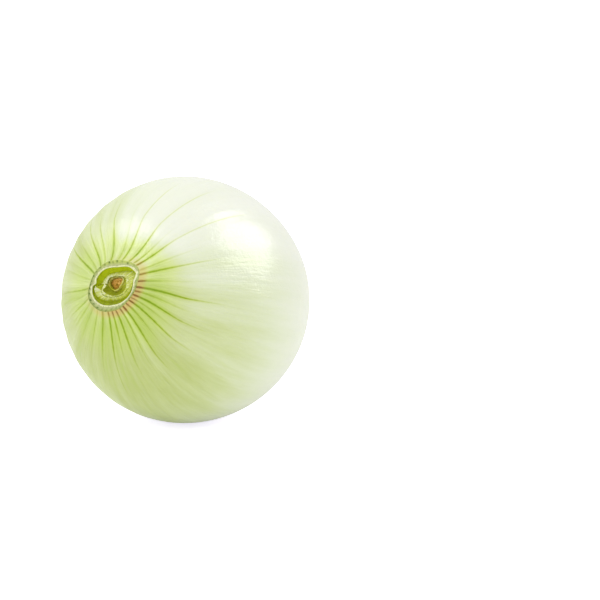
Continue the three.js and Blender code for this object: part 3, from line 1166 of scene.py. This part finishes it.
@dataclass(frozen=True)
class Bulb:
    """The outermost fleshy scale: skin, cut ring of the neck, hollow, and sliced root end."""

    form: BulbForm
    lines: NeckLines = NeckLines()
    columns: Columns = Columns()
    rows: int = 170
    crowding: float = 0.22  # how much the skin's rows gather towards the neck
    slice_rows: int = 16
    furrow_at_rim: float = 0.35  # share of the furrows' depth that is left at the ring
    furrow_least: float = 0.55  # share of it that the faintest vein has
    line_low: float = 0.2  # reach of a vein's line low down, mm
    line_high: float = 0.34  # and by the neck
    dent: float = 0.05  # mean depth of the shallow dents low down, mm
    cut_edge: float = 0.3  # mm over which the cut's outer edge is rounded
    dot_size: float = 0.42  # mm from the middle of a dot to where it has faded to 1/e
    # Partly painted highlight: the side is palest from 45 to 92 degrees, where the highlight above
    # the neck falls.
    side_green: Around = Around(
        (
            (14, 0.4), (24, 0.32), (34, 0.15), (45, 0.06), (75, 0.06), (92, 0.1), (122, 0.42),
            (155, 0.6), (200, 0.7), (258, 0.7), (282, 0.78), (298, 0.76), (318, 0.62), (340, 0.54),
            (355, 0.48),
        )
    )
    neck_green: Around = Around(
        (
            (6, 0.82), (20, 0.7), (43, 0.46), (60, 0.54), (78, 0.6), (106, 0.62), (140, 0.64),
            (181, 0.74), (238, 0.78), (262, 0.8), (300, 0.78), (330, 0.82), (350, 0.86),
        )
    )
    neck_from: float = 46.0  # latitude where the neck's green starts to come in
    neck_full: float = 69.0  # latitude where it is all there
    # Partly painted highlight: the neck's green starts higher there, leaving the skin paler where
    # the highlight above the neck falls.
    late_under_highlight: tuple[Hump, ...] = (Hump(11, 85, 62), Hump(4, 104, 16))  # how much higher it starts
    paled_by_ring: tuple[Hump, ...] = (Hump(0.22, 285, 80), Hump(0.3, 56, 36))  # share lost beside the ring
    tan: Hump = Hump(1, 322, 86)  # stained side of the skin beside the ring
    moss: Hump = Hump(0.9, 95, 60)  # fresher side of the cut
    # Painted shade: the darker outer edge of the cut on that side, where its rounded edge turns
    # from the light.
    dark_edge: Hump = Hump(0.5, 195, 62)  # side where the cut's outer edge is dark
    # Painted shade on the lower side of the hollow's wall.
    wall_shade: Hump = Hump(0.8, 270, 85)  # share of the wall's tone lost

    def _latitudes(self) -> Array:
        """Latitudes of the skin's rows, which gather towards the neck: s + c s sin(pi s).

        Returns:
            The latitudes, as (rows, 1), in radians.
        """
        share = np.linspace(0, 1, self.rows)
        gathered = share + self.crowding * np.sin(math.pi * share) * share
        return mix(self.form.root_latitude, self.form.rim_latitude, gathered)[:, None]

    def _greenness(self, degrees: Array, angle: Array) -> Array:
        """How green the skin is, 0 to 1.

        It has one course round the side, which pales towards the roots, and another by the neck,
        which is paler beside the ring. It goes smoothly from the first to the second.

        Args:
            degrees: Latitude, as (rows, 1).
            angle: Angle round the axis in radians, as (1, columns).

        Returns:
            The greenness, as (rows, columns).
        """
        side = self.side_green.at(angle) * mix(0.15, 1.0, smoothstep(degrees, -25, 44))
        low = self.neck_from + sum(hump.at(np.degrees(angle)) for hump in self.late_under_highlight)
        paled_by_ring = sum(hump.at(np.degrees(angle)) for hump in self.paled_by_ring)
        neck = self.neck_green.at(angle) * (1 - paled_by_ring * smoothstep(degrees, 66, 73))
        return mix(side, neck, smoothstep(degrees, low, self.neck_full))

    def _skin(self) -> Section:
        """The skin, with its furrows and all that is painted on it.

        Returns:
            The section.
        """
        latitude = self._latitudes()
        degrees = np.degrees(latitude)
        angle = np.degrees(self.columns.angles)[None, :]
        from_rim = smoothstep(self.form.rim_latitude - latitude, 0, math.radians(8))
        fade = smoothstep(degrees, -25, 65) ** 1.5
        near = np.array([vein.near for vein in VEINS])
        strength = self.columns.nearest(self.furrow_least + (1 - self.furrow_least) * near)
        depth = self.form.furrow_depth * mix(self.furrow_at_rim, 1.0, from_rim) * fade * strength
        points = self.form.skin(latitude, self.columns, depth)
        wave = np.sin(5 * latitude + 3 * np.radians(angle))
        dip = self.dent * (1 + wave) * smoothstep(degrees, 60, 20)
        points = points * (1 - dip[..., None] / self.form.radius)
        ink = self.columns.nearest(np.stack([vein.ink(degrees[:, 0]) for vein in VEINS], axis=-1))
        scorch = self.columns.nearest(np.array([vein.scorch for vein in VEINS]))[None, :]
        out = self.form.radius * (self.form.rim_latitude - latitude)
        width = mix(self.line_low, self.line_high, smoothstep(degrees, 44, 68))
        paint = {
            "green": self._greenness(degrees, np.radians(angle)),
            "fresh": smoothstep(degrees, 52, 66) + 0 * angle,
            "gap": self.columns.gap(points[..., 0], points[..., 1]) / width,
            "ink": ink * smoothstep(out, -0.2, 0.6),
            "scorch": scorch * (1 - smoothstep(out, 1.2, 3.4)),
            "tan": self.tan.at(angle) * (1 - smoothstep(out, 0.8, 3.4)),
            "grain": grain_of(np.radians(angle), self.form.radius * latitude, 2.6, 16.0),
        }
        return Section(points, 0, paint)

    def _rim_angles(self) -> Array:
        """Angles of the columns where they meet the cut, in radians."""
        return self.form.swung(np.array(self.form.rim_latitude), self.columns.angles)

    def _cut(self) -> Section:
        """The cut face, from its rounded outer edge over to the lip of the hollow.

        Its dots, each exp(-(distance / size)^2), are painted where the veins end.

        Returns:
            The section.
        """
        level, angle = self.form.neck_level, self._rim_angles()
        degrees = np.degrees(angle)
        ring, mouth = self.form.ring, self.lines.mouth
        outer = ring.loop(angle, level, 0.0, -0.02)
        shelf = ring.loop(angle, level, -self.cut_edge, 0.04)
        inner = mouth.loop(angle, level, self.lines.lip.at(angle), 0.13)
        crest = mouth.loop(angle, level, 0.1, 0.12)
        drop = mouth.loop(angle, level, 0.0, -0.2)
        loops = [outer, shelf, mix(shelf, inner, 0.5), inner, crest, drop]
        points, place = sweep(loops, 4, skip=1)
        rough = 0.03 * np.sin(points[..., 0] * 4.1 + 2 * np.sin(points[..., 1] * 3.3))
        points[..., 2] += rough * np.sin(math.pi * place / place[-1])
        across = np.interp(place, np.arange(len(loops)), [0, 0.14, 0.45, 0.82, 0.97, 1.0])
        width = np.linalg.norm(outer - drop, axis=-1)
        dots = np.array(RING_DOTS)[:, :, None, None]
        round_way = np.radians((degrees - dots[:, 0] + 180) % 360 - 180) * ring.radius.at(angle)
        away = np.hypot(round_way, (across - dots[:, 1]) * width)
        spots = (dots[:, 2] * np.exp(-((away / self.dot_size) ** 2))).max(axis=0)
        paint = {
            "across": across + 0 * angle,
            "moss": self.moss.at(degrees) * smoothstep(across, 0.8, 0.1),
            "dot": np.maximum(spots, self.dark_edge.at(degrees) * smoothstep(across, 0.35, 0.05)),
        }
        return Section(points, 1, paint)

    def _wall(self) -> Section:
        """The hollow's wall, which closes in on the inner scale, and its floor.

        Returns:
            The section.
        """
        form, angle = self.form, self._rim_angles()
        drop = self.lines.mouth.loop(angle, form.neck_level, 0.0, -0.2)
        below = self.lines.mouth.loop(angle, form.neck_level, 0.1, -0.9)
        crevice = self.lines.crevice(angle, form.neck_level, -0.05, -0.12)
        bowl = mix(below, crevice, 0.5) - [0, 0, 0.25]
        foot = form.hollow_floor.loop(angle, form.floor_level)
        floor = form.hollow_floor.loop(angle, form.floor_level, -2.5)
        loops = [drop, below, bowl, crevice, mix(crevice, foot, 0.5), foot, floor]
        points, place = sweep(loops, 6, skip=1)
        # Painted shade: the tone drops from the lip down into the hollow, and wall_shade takes more
        # off on its lower side.
        tone = np.interp(place, [0, 0.3, 1.0, 2.5, 3], [0.8, 0.45, 0.45, 0.5, 0.5])
        paint = {
            "tone": tone * (1 - self.wall_shade.at(np.degrees(angle))),
            "grain": grain_of(angle[None, :], place * 2, 5.0, 9.0),
        }
        return Section(points, 2, paint)

    def _slice(self) -> Section:
        """The seat of the root plate and the sliced flat round it, up to the skin.

        Returns:
            The section: a profile of radii and levels, turned round the axis.
        """
        form, angle = self.form, self.columns.angles[None, :]
        seat, edge = form.plate_radius + form.fit_gap, form.root_cut
        radii = np.array([seat * 0.5, seat, seat + 0.1, seat + 0.5, edge - 0.6, edge - 0.08])
        levels = form.root_level + np.array([form.seat_depth, form.seat_depth, 0.15, 0, 0, 0.06])
        place = np.linspace(0, len(radii) - 1, self.slice_rows)[:, None]
        r = np.interp(place, np.arange(len(radii)), radii)
        z = np.interp(place, np.arange(len(radii)), levels)
        points = np.stack(np.broadcast_arrays(r * np.cos(angle), r * np.sin(angle), z), axis=-1)
        across = np.clip((r - seat) / (edge - seat), 0, 1)
        return Section(points, 3, {"across": across + 0 * angle})

    def make(self, placement: Placement) -> bpy.types.Object:
        """Builds the piece.

        Args:
            placement: Where the bulb lies.

        Returns:
            The piece.
        """
        sections = [self._slice(), self._skin(), self._cut(), self._wall()]
        skin = Skin("bulb_flesh", sections, Ends.FANS)
        olive = shades((0.0, "88940A"), (0.4, "B4C208"), (0.8, "BCCA14"), (1.0, "CAD45A"))
        finishes = [SkinFinish(), CutFinish(), ToneFinish("hollow_wall", olive, 0.1), SliceFinish()]
        piece = skin.build(placement, [finish.material() for finish in finishes])
        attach(piece, "root")
        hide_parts("bulb")
        return piece


@dataclass(frozen=True)
class InnerScale:
    """The next scale's cut tube: its shoulder slopes to a dotted crease and a thin pale rim."""

    form: BulbForm
    lines: NeckLines = NeckLines()
    columns: int = 360
    wall: float = 0.8  # thickness at the foot
    bare_turn: float = 95.0  # side where the crease has no dots
    bowl_depth: Around = Around(((0, 2.0), (50, 1.4), (160, 1.5), (205, 2.5), (330, 2.5)))
    shoulder_tone: Around = Around(
        (
            (0, 0.45), (20, 0.4), (45, 0.4), (100, 0.4), (140, 0.5), (176, 0.5), (183, 1), (190, 1),
            (198, 0.75), (210, 0.45), (230, 0.3), (300, 0.3), (325, 0.35), (348, 0.4),
        ),
        rounding=2.0,
    )
    crease_tone: Around = Around(
        (
            (0, 0.5), (30, 0.68), (60, 0.75), (100, 0.75), (130, 0.92), (170, 1), (200, 0.9),
            (225, 0.8), (270, 0.76), (320, 0.6),
        )
    )
    rim_tone: Around = Around(
        ((0, 0.6), (30, 0.7), (60, 0.75), (100, 0.8), (140, 1), (190, 1), (220, 0.75), (300, 0.6))
    )
    cove: Around = Around(
        (
            (176, 0), (180, 8), (185, 7.8), (189, 7.2), (194, 6.4), (200, 5.8), (205, 5.4),
            (210, 0),
        ),
        rounding=1.5,
    )  # how far from the middle the torn step reaches
    cove_depth: float = 0.35
    teeth: Hump = Hump(1, 172, 25)  # where the rim is torn
    # Painted light on the bowl's upper side.
    lit_side: Hump = Hump(0.6, 85, 95)  # where the bowl is paler

    def _ragged(self, angle: Array) -> Array:
        """Torn, uneven rim: small waves everywhere, and teeth where it was torn.

        Args:
            angle: Angles of the columns, in radians.

        Returns:
            How far the rim moves at each angle, mm.
        """
        waves = 0.05 * (np.sin(11 * angle + 1) + np.sin(23 * angle) + 0.7 * np.sin(41 * angle + 2))
        torn = 0.22 * np.sin(29 * angle) + 0.15 * np.sin(53 * angle)
        return waves + self.teeth.at(np.degrees(angle)) * torn

    def _dotted(self, angle: Array) -> Array:
        """1 where the crease has dots, and 0 on its bare side."""
        return smoothstep(-np.cos(angle - math.radians(self.bare_turn)), -0.1, 0.5)

    def _outside(self, angle: Array) -> Section:
        """From the foot up to the shoulder, and over the slope to the crease.

        Args:
            angle: Angles of the columns, in radians.

        Returns:
            The section.
        """
        form, lines, level = self.form, self.lines, self.form.neck_level
        foot = form.hollow_floor.loop(angle, form.floor_level + form.fit_gap, -form.fit_gap)
        under = lines.crevice(angle, level, -0.2, -0.6)
        shoulder = lines.shoulder.loop(angle, level)
        crease = lines.crease.loop(angle, level, 0.0, -0.1)
        slope = mix(shoulder, crease, 0.5) + [0, 0, 0.12]
        points, place = sweep([foot, mix(foot, under, 0.5), under, shoulder, slope, crease], 9)
        sloping = smoothstep(place, 3, 5)
        tone = mix(self.shoulder_tone.at(angle), self.crease_tone.at(angle), sloping)
        x, y = lines.shoulder.centre
        out = np.hypot(points[..., 0] - x, points[..., 1] - y)
        cove = smoothstep(self.cove.at(angle) - out, -0.15, 0.25) * smoothstep(place, 2.4, 3.0)
        points[..., 2] -= cove * self.cove_depth * mix(1.0, 0.15, sloping)
        # Painted shade: the tone falls to 0 down in the gap below the shoulder and in the torn step
        # of the cove.
        paint = {
            "tone": tone * smoothstep(place, 2.0, 3.0) * (1 - cove),
            "dot": np.exp(-(((place - place[-1]) / 0.22) ** 2)) * self._dotted(angle),
            "grain": grain_of(angle[None, :], place * 2, 3.0, 9.0),
        }
        return Section(points, 0, paint)

    def _rim(self, angle: Array) -> Section:
        """From the crease over the thin pale rim to its inner edge.

        Args:
            angle: Angles of the columns, in radians.

        Returns:
            The section.
        """
        lines, level, ragged = self.lines, self.form.neck_level, self._ragged(angle)
        crease = lines.crease.loop(angle, level, 0.0, -0.1)
        edge = lines.rim.loop(angle, level, ragged * 0.6, ragged * 0.5)
        crest = mix(crease, edge, 0.55)
        crest[:, 2] = np.maximum(crease[:, 2], edge[:, 2]) + 0.16
        points, place = sweep([crease, crest, edge], 6, skip=1)
        paint = {
            "tone": self.rim_tone.at(angle) + 0 * place,
            "dot": 0.9 * np.exp(-((place / 0.3) ** 2)) * self._dotted(angle),
            "grain": grain_of(angle[None, :], 10 + place, 4.0, 7.0),
        }
        return Section(points, 0, paint)

    def _inside(self, angle: Array) -> Section:
        """From the rim's inner edge over a shallow bowl round the heart, down to the inner foot.

        Args:
            angle: Angles of the columns, in radians.

        Returns:
            The section.
        """
        form, level, ragged = self.form, self.form.neck_level, self._ragged(angle)
        edge = self.lines.rim.loop(angle, level, ragged * 0.6, ragged * 0.5)
        heart = self.lines.heart.loop(angle, level, 0.15, -0.9)
        thickness = form.fit_gap + self.wall
        foot = form.hollow_floor.loop(angle, form.floor_level + form.fit_gap, -thickness)
        bowl = mix(edge, heart, 0.45)
        bowl[:, 2] = level - self.bowl_depth.at(angle)
        loops = [edge, edge - [0, 0, 0.35], bowl, heart, mix(heart, foot, 0.5), foot]
        points, place = sweep(loops, 7, skip=1)
        # Painted shade: the tone falls from the rim's edge down over the bowl to the foot.
        tone = np.interp(place, [0, 0.5, 1.5, 3], [0.5, 0.25, 0.1, 0])
        paint = {
            "tone": tone + self.lit_side.at(np.degrees(angle)),
            "grain": grain_of(angle[None, :], place * 3, 4.0, 9.0),
        }
        return Section(points, 1, paint)

    def make(self, placement: Placement) -> bpy.types.Object:
        """Builds the piece, as a closed tube.

        Args:
            placement: Where the bulb lies.

        Returns:
            The piece.
        """
        angle = full_turn(self.columns)
        sections = [self._outside(angle), self._rim(angle), self._inside(angle)]
        tones = shades(
            (0.0, "9EAA08"), (0.25, "B4BE30"), (0.5, "C6CE5E"), (0.75, "D2D882"), (1.0, "ECF0BE")
        )
        olive = shades((0.0, "929A0E"), (0.5, "A3AC24"), (1.0, "C6CE78"))
        finishes = [ToneFinish("inner_scale", tones, 0.3), ToneFinish("inner_bowl", olive, 0.3)]
        skin = Skin("inner_scale_flesh", sections, Ends.RING)
        piece = skin.build(placement, [finish.material() for finish in finishes])
        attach(piece, "root")
        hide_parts("inner_scale")
        return piece


@dataclass(frozen=True)
class HeartScale:
    """The innermost scale, rolled to a narrow wedge with a thin pale rim."""

    form: BulbForm
    lines: NeckLines = NeckLines()
    foot: Oval = Oval(-0.8, 0.9, 4.2, 2.9, 12)
    columns: int = 180
    wall: float = 0.5  # thickness at the foot
    # Painted shade in the wedge's corner.
    shade: Hump = Hump(0.6, 215, 45)  # share of the tone lost in the wedge's corner

    def make(self, placement: Placement) -> bpy.types.Object:
        """Builds the piece: up its outside, over the rim, and down past the withered tip.

        Args:
            placement: Where the bulb lies.

        Returns:
            The piece.
        """
        form, angle, level = self.form, full_turn(self.columns), self.form.neck_level
        foot_level = form.floor_level + form.fit_gap
        ragged = 0.05 * (np.sin(9 * angle) + np.sin(19 * angle + 1) + 0.8 * np.sin(37 * angle))
        foot = self.foot.loop(angle, foot_level)
        rim = self.lines.heart.loop(angle, level, 0.0, ragged - 0.1)
        crest = self.lines.heart.loop(angle, level, -0.15, ragged + 0.05)
        inner = self.lines.tip.loop(angle, level, 0.12, 0.1)
        belly = mix(foot, rim, 0.75) - [0, 0, 0.4]
        inner_foot = self.foot.loop(angle, foot_level, -self.wall)
        outside = [foot, mix(foot, belly, 0.5), belly, rim, crest]
        points, place = sweep([*outside, inner, inner - [0, 0, 0.6], inner_foot], 6)
        # The pale rim is its own colour; as painted light and shade the tone is highest on the
        # rim's crest and falls away down the outside and inside into the hollow.
        lit = ((0, 0), (2, 0.35), (2.8, 0.6), (3.4, 0.9), (4, 1), (4.5, 0.7), (5, 0.5), (7, 0.2))
        tone = np.interp(place, *zip(*lit))
        paint = {
            "tone": tone * (1 - self.shade.at(np.degrees(angle))),
            "grain": grain_of(angle[None, :], place * 1.5, 8.0, 5.0),
        }
        tones = shades((0.0, "BCC40E"), (0.35, "C6C83E"), (0.7, "D0CA62"), (1.0, "DCD880"))
        finish = ToneFinish("heart_scale", tones, 0.2)
        skin = Skin("heart_scale_flesh", [Section(points, 0, paint)], Ends.RING)
        piece = skin.build(placement, [finish.material()])
        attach(piece, "root")
        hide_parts("heart_scale")
        return piece


@dataclass(frozen=True)
class DryTip:
    """The crumpled brown tip that fills the middle of the rolled heart."""

    form: BulbForm
    lines: NeckLines = NeckLines()
    foot: Oval = Oval(-0.8, 0.9, 4.2, 2.9, 12)
    columns: int = 160
    climb_rows: int = 14
    top_rows: int = 34
    inset: float = 0.75  # how far its foot stays inside the heart's, mm
    rise: float = 0.35  # height of the dome, mm
    folds: float = 0.2  # mm of relief
    crumples: float = 0.1

    def make(self, placement: Placement) -> bpy.types.Object:
        """Builds the piece: a plug whose low dome is folded and crumpled by products of sines.

        Args:
            placement: Where the bulb lies.

        Returns:
            The piece.
        """
        form, angle, level = self.form, full_turn(self.columns), self.form.neck_level
        foot = self.foot.loop(angle, form.floor_level + form.fit_gap, -self.inset)
        side = self.lines.tip.loop(angle, level, -0.05, -0.1)
        climb = smooth_path(np.stack([foot, side]), np.linspace(0, 1, self.climb_rows))
        inward = np.linspace(0, 0.97, self.top_rows)[1:, None, None]
        top = mix(side, side.mean(axis=0), inward)
        x, y = top[..., 0], top[..., 1]
        fold = np.sin(3.1 * x + 1.7 * np.sin(2.3 * y)) * np.sin(2.7 * y + 1.3 * np.sin(2.1 * x + 1))
        fine = np.sin(7.3 * x + 2 * np.sin(5 * y)) * np.sin(6.1 * y + 1.5 * np.sin(6 * x))
        relief = self.folds * fold + self.crumples * fine
        relief = relief * smoothstep(inward[..., 0], 0, 0.2)
        top[..., 2] += self.rise * np.sin(inward[..., 0] * math.pi / 2) + relief
        # Painted shade: darker towards its lower side and its -x side, and in the creases where the
        # folds dip.
        low_side = smoothstep(y, 3.2, -0.8) * 0.7 + smoothstep(x, -1.8, -3.6) * 0.25
        below = Section(climb, 0, {"burn": np.array([[0.9]])})
        above = Section(top, 0, {"burn": np.clip(low_side - 1.2 * relief, 0, 1)})
        skin = Skin("dry_tip_shoot", [below, above], Ends.FANS)
        piece = skin.build(placement, [WitheredFinish().material()])
        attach(piece, "root")
        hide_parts("dry_tip")
        return piece


class Draws:
    """Repeatable numbers from 0 to 1: state = (state * factor + step) modulo size."""

    FACTOR = 1664525
    STEP = 1013904223
    SIZE = 2**32

    def __init__(self, seed: int) -> None:
        """Starts from a seed."""
        self.state = seed

    def next(self) -> float:
        """The next number."""
        self.state = (self.state * self.FACTOR + self.STEP) % self.SIZE
        return self.state / self.SIZE


@dataclass(frozen=True)
class Stub:
    """One stub of a sliced root."""

    out: float  # mm from the axis
    angle: float  # radians round it
    thickness: float
    length: float


@dataclass(frozen=True)
class RootPlate:
    """The corky plate with the stubs of the sliced roots."""

    form: BulbForm
    stubs: int = 26
    stub_radius: float = 0.35  # mean thickness from the middle of a stub, mm
    stub_length: float = 0.65
    stub_sides: int = 14
    spread: float = 0.86  # share of the plate's radius that the stubs reach
    seed: int = 7
    columns: int = 120
    rows: int = 36
    grit: float = 0.06  # mm

    def _plate(self) -> Section:
        """The plate: a low dome over a straight side, with a gritty face.

        Returns:
            The section: a profile of shares of the radius and levels, turned round the axis.
        """
        form = self.form
        angle = full_turn(self.columns)[None, :]
        share = np.array([0.04, 0.3, 0.6, 0.86, 0.955, 0.96, 0.96])
        level = np.array([-0.55, -0.75, -1.0, -0.6, -0.06, 0.1, 0.0]) * form.plate_proud
        level[-1] = form.seat_depth - form.fit_gap
        place = np.linspace(0, len(share) - 1, self.rows)
        r = np.interp(place, np.arange(len(share)), share)[:, None] * form.plate_radius
        z = np.interp(place, np.arange(len(share)), level)[:, None] + form.root_level
        wobble = 1 + 0.015 * np.sin(7 * angle + r)
        grit = self.grit * np.sin(5.2 * r * np.cos(angle)) * np.sin(4.7 * r * np.sin(angle) + 1)
        grit = grit * (z < form.root_level)
        x, y = r * wobble * np.cos(angle), r * wobble * np.sin(angle)
        return Section(np.stack(np.broadcast_arrays(x, y, z + grit), axis=-1), 0, {"pith": 0 * x})

    def _stubs(self) -> list[Stub]:
        """Where the stubs stand: on a golden-angle spiral, r = R sqrt(share of their number).

        Returns:
            The stubs.
        """
        draws, stubs = Draws(self.seed), []
        golden = math.pi * (3 - math.sqrt(5))
        for i in range(self.stubs):
            out = self.form.plate_radius * self.spread * math.sqrt((i + 4) / (self.stubs + 3))
            angle = (i + 0.1 * draws.next()) * golden
            thickness = self.stub_radius * (0.8 + 0.4 * draws.next())
            length = self.stub_length * (0.7 + 0.6 * draws.next())
            stubs.append(Stub(out, angle, thickness, length))
        return stubs

    def _stalk(self, stub: Stub) -> Skin:
        """A ribbed stalk with a rounded, paler cut end.

        Args:
            stub: Its place and size.

        Returns:
            Its surface: a profile of shares of the thickness, turned round its own axis.
        """
        form, around = self.form, full_turn(self.stub_sides)[None, :]
        top = form.root_level + form.seat_depth * 0.5
        end = form.root_level - form.plate_proud * 0.6 - stub.length
        share = np.array([0.02, 0.35, 0.85, 1.0, 1.02, 1.0, 0.95])[:, None]
        level = np.array([0.02, 0.0, 0.0, 0.06, 0.15, 0.5, 1.0])[:, None]
        size = stub.thickness * share * (1 + 0.08 * np.sin(3 * around + stub.out))
        x = stub.out * math.cos(stub.angle) + size * np.cos(around)
        y = stub.out * math.sin(stub.angle) + size * np.sin(around)
        z = end + (top - end) * level + 0 * x
        paint = {"pith": np.clip(1.2 - share, 0, 1) * (level < 0.01) + 0 * x}
        return Skin("root_stub", [Section(np.stack([x, y, z], axis=-1), 0, paint)], Ends.FANS)

    def make(self, placement: Placement) -> bpy.types.Object:
        """Builds the plate and its stubs as one piece.

        Args:
            placement: Where the bulb lies.

        Returns:
            The piece.
        """
        cork = CorkFinish().material()
        plate = Skin("root_plate_cork", [self._plate()], Ends.FANS).build(placement, [cork])
        stubs = [self._stalk(stub).build(placement, [cork]) for stub in self._stubs()]
        pieces = [plate, *stubs]
        with bpy.context.temp_override(active_object=plate, selected_editable_objects=pieces):
            bpy.ops.object.join()
        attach(plate, "root")
        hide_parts("root_plate")
        return plate


# ---- the studio ----


class Reach(Enum):
    """What a softbox does."""

    BODY = "lights the surfaces, and isn't mirrored in them"
    GLOSS = "is only mirrored in the surfaces"


@dataclass(frozen=True)
class Softbox:
    """A rectangular soft light that faces the bulb."""

    name: str
    reach: Reach
    towards: tuple[float, float, float]  # right, up and towards the camera, as the camera sees it
    distance: float  # m
    width: float  # m
    height: float  # m
    radiance: float  # W per square metre and steradian
    roll: float = 0.0  # degrees that it is turned about its own axis

    def make(self, centre: Vector, camera_axes: Matrix) -> None:
        """Adds the light, with the power that its area needs: radiance times area times pi.

        Args:
            centre: What it faces.
            camera_axes: The camera's right, up and back directions, as columns.
        """
        data = bpy.data.lights.new(self.name, "AREA")
        data.shape = "RECTANGLE"
        data.size, data.size_y = self.width, self.height
        data.energy = self.radiance * self.width * self.height * math.pi
        light = bpy.data.objects.new(self.name, data)
        bpy.context.scene.collection.objects.link(light)
        light.visible_diffuse = self.reach is Reach.BODY
        light.visible_glossy = self.reach is Reach.GLOSS
        direction = (camera_axes @ Vector(self.towards)).normalized()
        light.location = centre + direction * self.distance
        turn = direction.to_track_quat("Z", "Y") @ Quaternion((0, 0, 1), math.radians(self.roll))
        light.rotation_euler = turn.to_euler()


@dataclass(frozen=True)
class Studio:
    """White surroundings, a pale floor, soft lights and the camera."""

    azimuth: float = 36.7  # degrees
    elevation: float = 12.65
    distance: float = 1.2  # m from the bulb's centre
    focal: float = 213.4  # mm
    sensor: float = 36.0
    aside: float = 0.03933  # m to the right of the bulb's centre that the camera faces
    below: float = 0.0004  # m below it
    surroundings: float = 0.955  # strength of their light
    backdrop: float = 1.1  # and of what the camera sees of them
    floor_white: float = 0.88
    floor_glow: float = 0.12  # light that the floor gives of itself
    floor_seen: float = 0.8  # light that the camera sees it give, in a tint
    floor_tint: Colour = (0.78, 0.74, 0.9)  # evens out the green that the bulb casts on the floor
    floor_size: float = 6.0
    softboxes: tuple[Softbox, ...] = (
        Softbox("top_softbox", Reach.BODY, (-0.45, 0.85, 0.1), 1.0, 1.0, 1.0, 0.6),
        Softbox("left_softbox", Reach.BODY, (-0.95, 0.0, 0.3), 1.0, 0.8, 0.8, 0.22),
        Softbox("window_gloss", Reach.GLOSS, (0.65, 0.64, 0.14), 0.8, 0.68, 0.7, 8.5, 24.0),
        Softbox("strip_gloss", Reach.GLOSS, (-0.64, 0.72, 0.24), 0.8, 0.8, 0.2, 5.7, 14.0),
    )

    def _back(self) -> Vector:
        """Direction from the bulb to the camera.

        Returns:
            The direction, one long.
        """
        azimuth, elevation = math.radians(self.azimuth), math.radians(self.elevation)
        flat = math.cos(elevation)
        return Vector((math.sin(azimuth) * flat, -math.cos(azimuth) * flat, math.sin(elevation)))

    def _right(self) -> Vector:
        """Direction to the camera's right."""
        azimuth = math.radians(self.azimuth)
        return Vector((math.cos(azimuth), math.sin(azimuth), 0))

    def camera(self, centre: Vector) -> None:
        """Adds the camera, with the bulb's centre seen along its back direction.

        Args:
            centre: The bulb's centre.
        """
        data = bpy.data.cameras.new("camera")
        data.lens = self.focal
        data.sensor_width = self.sensor
        data.clip_end = 50
        camera = bpy.data.objects.new("camera", data)
        bpy.context.scene.collection.objects.link(camera)
        camera.location = centre + self._back() * self.distance
        aim = centre + self._right() * self.aside - Vector((0, 0, self.below))
        camera.rotation_euler = (camera.location - aim).to_track_quat("Z", "Y").to_euler()
        bpy.context.scene.camera = camera

    def floor(self) -> None:
        """Adds a pale level floor at height 0, which the camera sees lit up to plain white."""
        size = self.floor_size
        mesh = bpy.data.meshes.new("studio_floor")
        corners = [(-size, -size, 0), (size, -size, 0), (size, size, 0), (-size, size, 0)]
        mesh.from_pydata(corners, [], [(0, 1, 2, 3)])
        graph = Graph("floor")
        seen = graph.add("ShaderNodeLightPath", {}).outputs["Is Camera Ray"]
        glow = {0: seen, 2: self.floor_glow, 3: self.floor_seen}  # the Mix node's own numbers
        shader = {
            "Base Color": (self.floor_white,) * 3,
            "Roughness": 0.9,
            "Specular IOR Level": 0.1,
            "Emission Color": graph.blend(seen, (1.0, 1.0, 1.0), self.floor_tint),
            "Emission Strength": graph.add("ShaderNodeMix", glow).outputs[0],
        }
        mesh.materials.append(graph.finish(shader))
        floor = bpy.data.objects.new("studio_floor", mesh)
        bpy.context.scene.collection.objects.link(floor)

    def surround(self) -> None:
        """Makes the world white: even soft light, and plain white behind the object."""
        world = bpy.data.worlds.new("surroundings")
        bpy.context.scene.world = world
        world.use_nodes = True
        tree = world.node_tree
        tree.nodes.clear()
        seen = tree.nodes.new("ShaderNodeBackground")
        seen.inputs["Strength"].default_value = self.backdrop
        soft = tree.nodes.new("ShaderNodeBackground")
        soft.inputs["Strength"].default_value = self.surroundings
        for background in (seen, soft):
            background.inputs["Color"].default_value = (1.0, 1.0, 1.0, 1.0)
        path = tree.nodes.new("ShaderNodeLightPath")
        choose = tree.nodes.new("ShaderNodeMixShader")
        output = tree.nodes.new("ShaderNodeOutputWorld")
        tree.links.new(path.outputs["Is Camera Ray"], choose.inputs[0])
        tree.links.new(soft.outputs[0], choose.inputs[1])
        tree.links.new(seen.outputs[0], choose.inputs[2])
        tree.links.new(choose.outputs[0], output.inputs["Surface"])

    def make(self, centre: Vector) -> None:
        """Builds the whole studio.

        Args:
            centre: The bulb's centre.
        """
        self.camera(centre)
        self.floor()
        self.surround()
        axes = Matrix((self._right(), self._back().cross(self._right()), self._back())).transposed()
        for softbox in self.softboxes:
            softbox.make(centre, axes)
        bpy.context.scene.view_settings.view_transform = "Standard"


def main() -> None:
    """Builds the onion piece by piece, then the studio."""
    logging.basicConfig(level=logging.INFO, format="%(name)s: %(message)s")
    form = BulbForm()
    placement = lay_down(form)
    for maker in (Bulb(form), InnerScale(form), HeartScale(form), DryTip(form), RootPlate(form)):
        piece = maker.make(placement)
        log.info("%s is in place", piece.name)
    Studio().make(Vector(placement.centre * MM))
    bpy.context.view_layer.update()


if __name__ == "__main__":
    main()
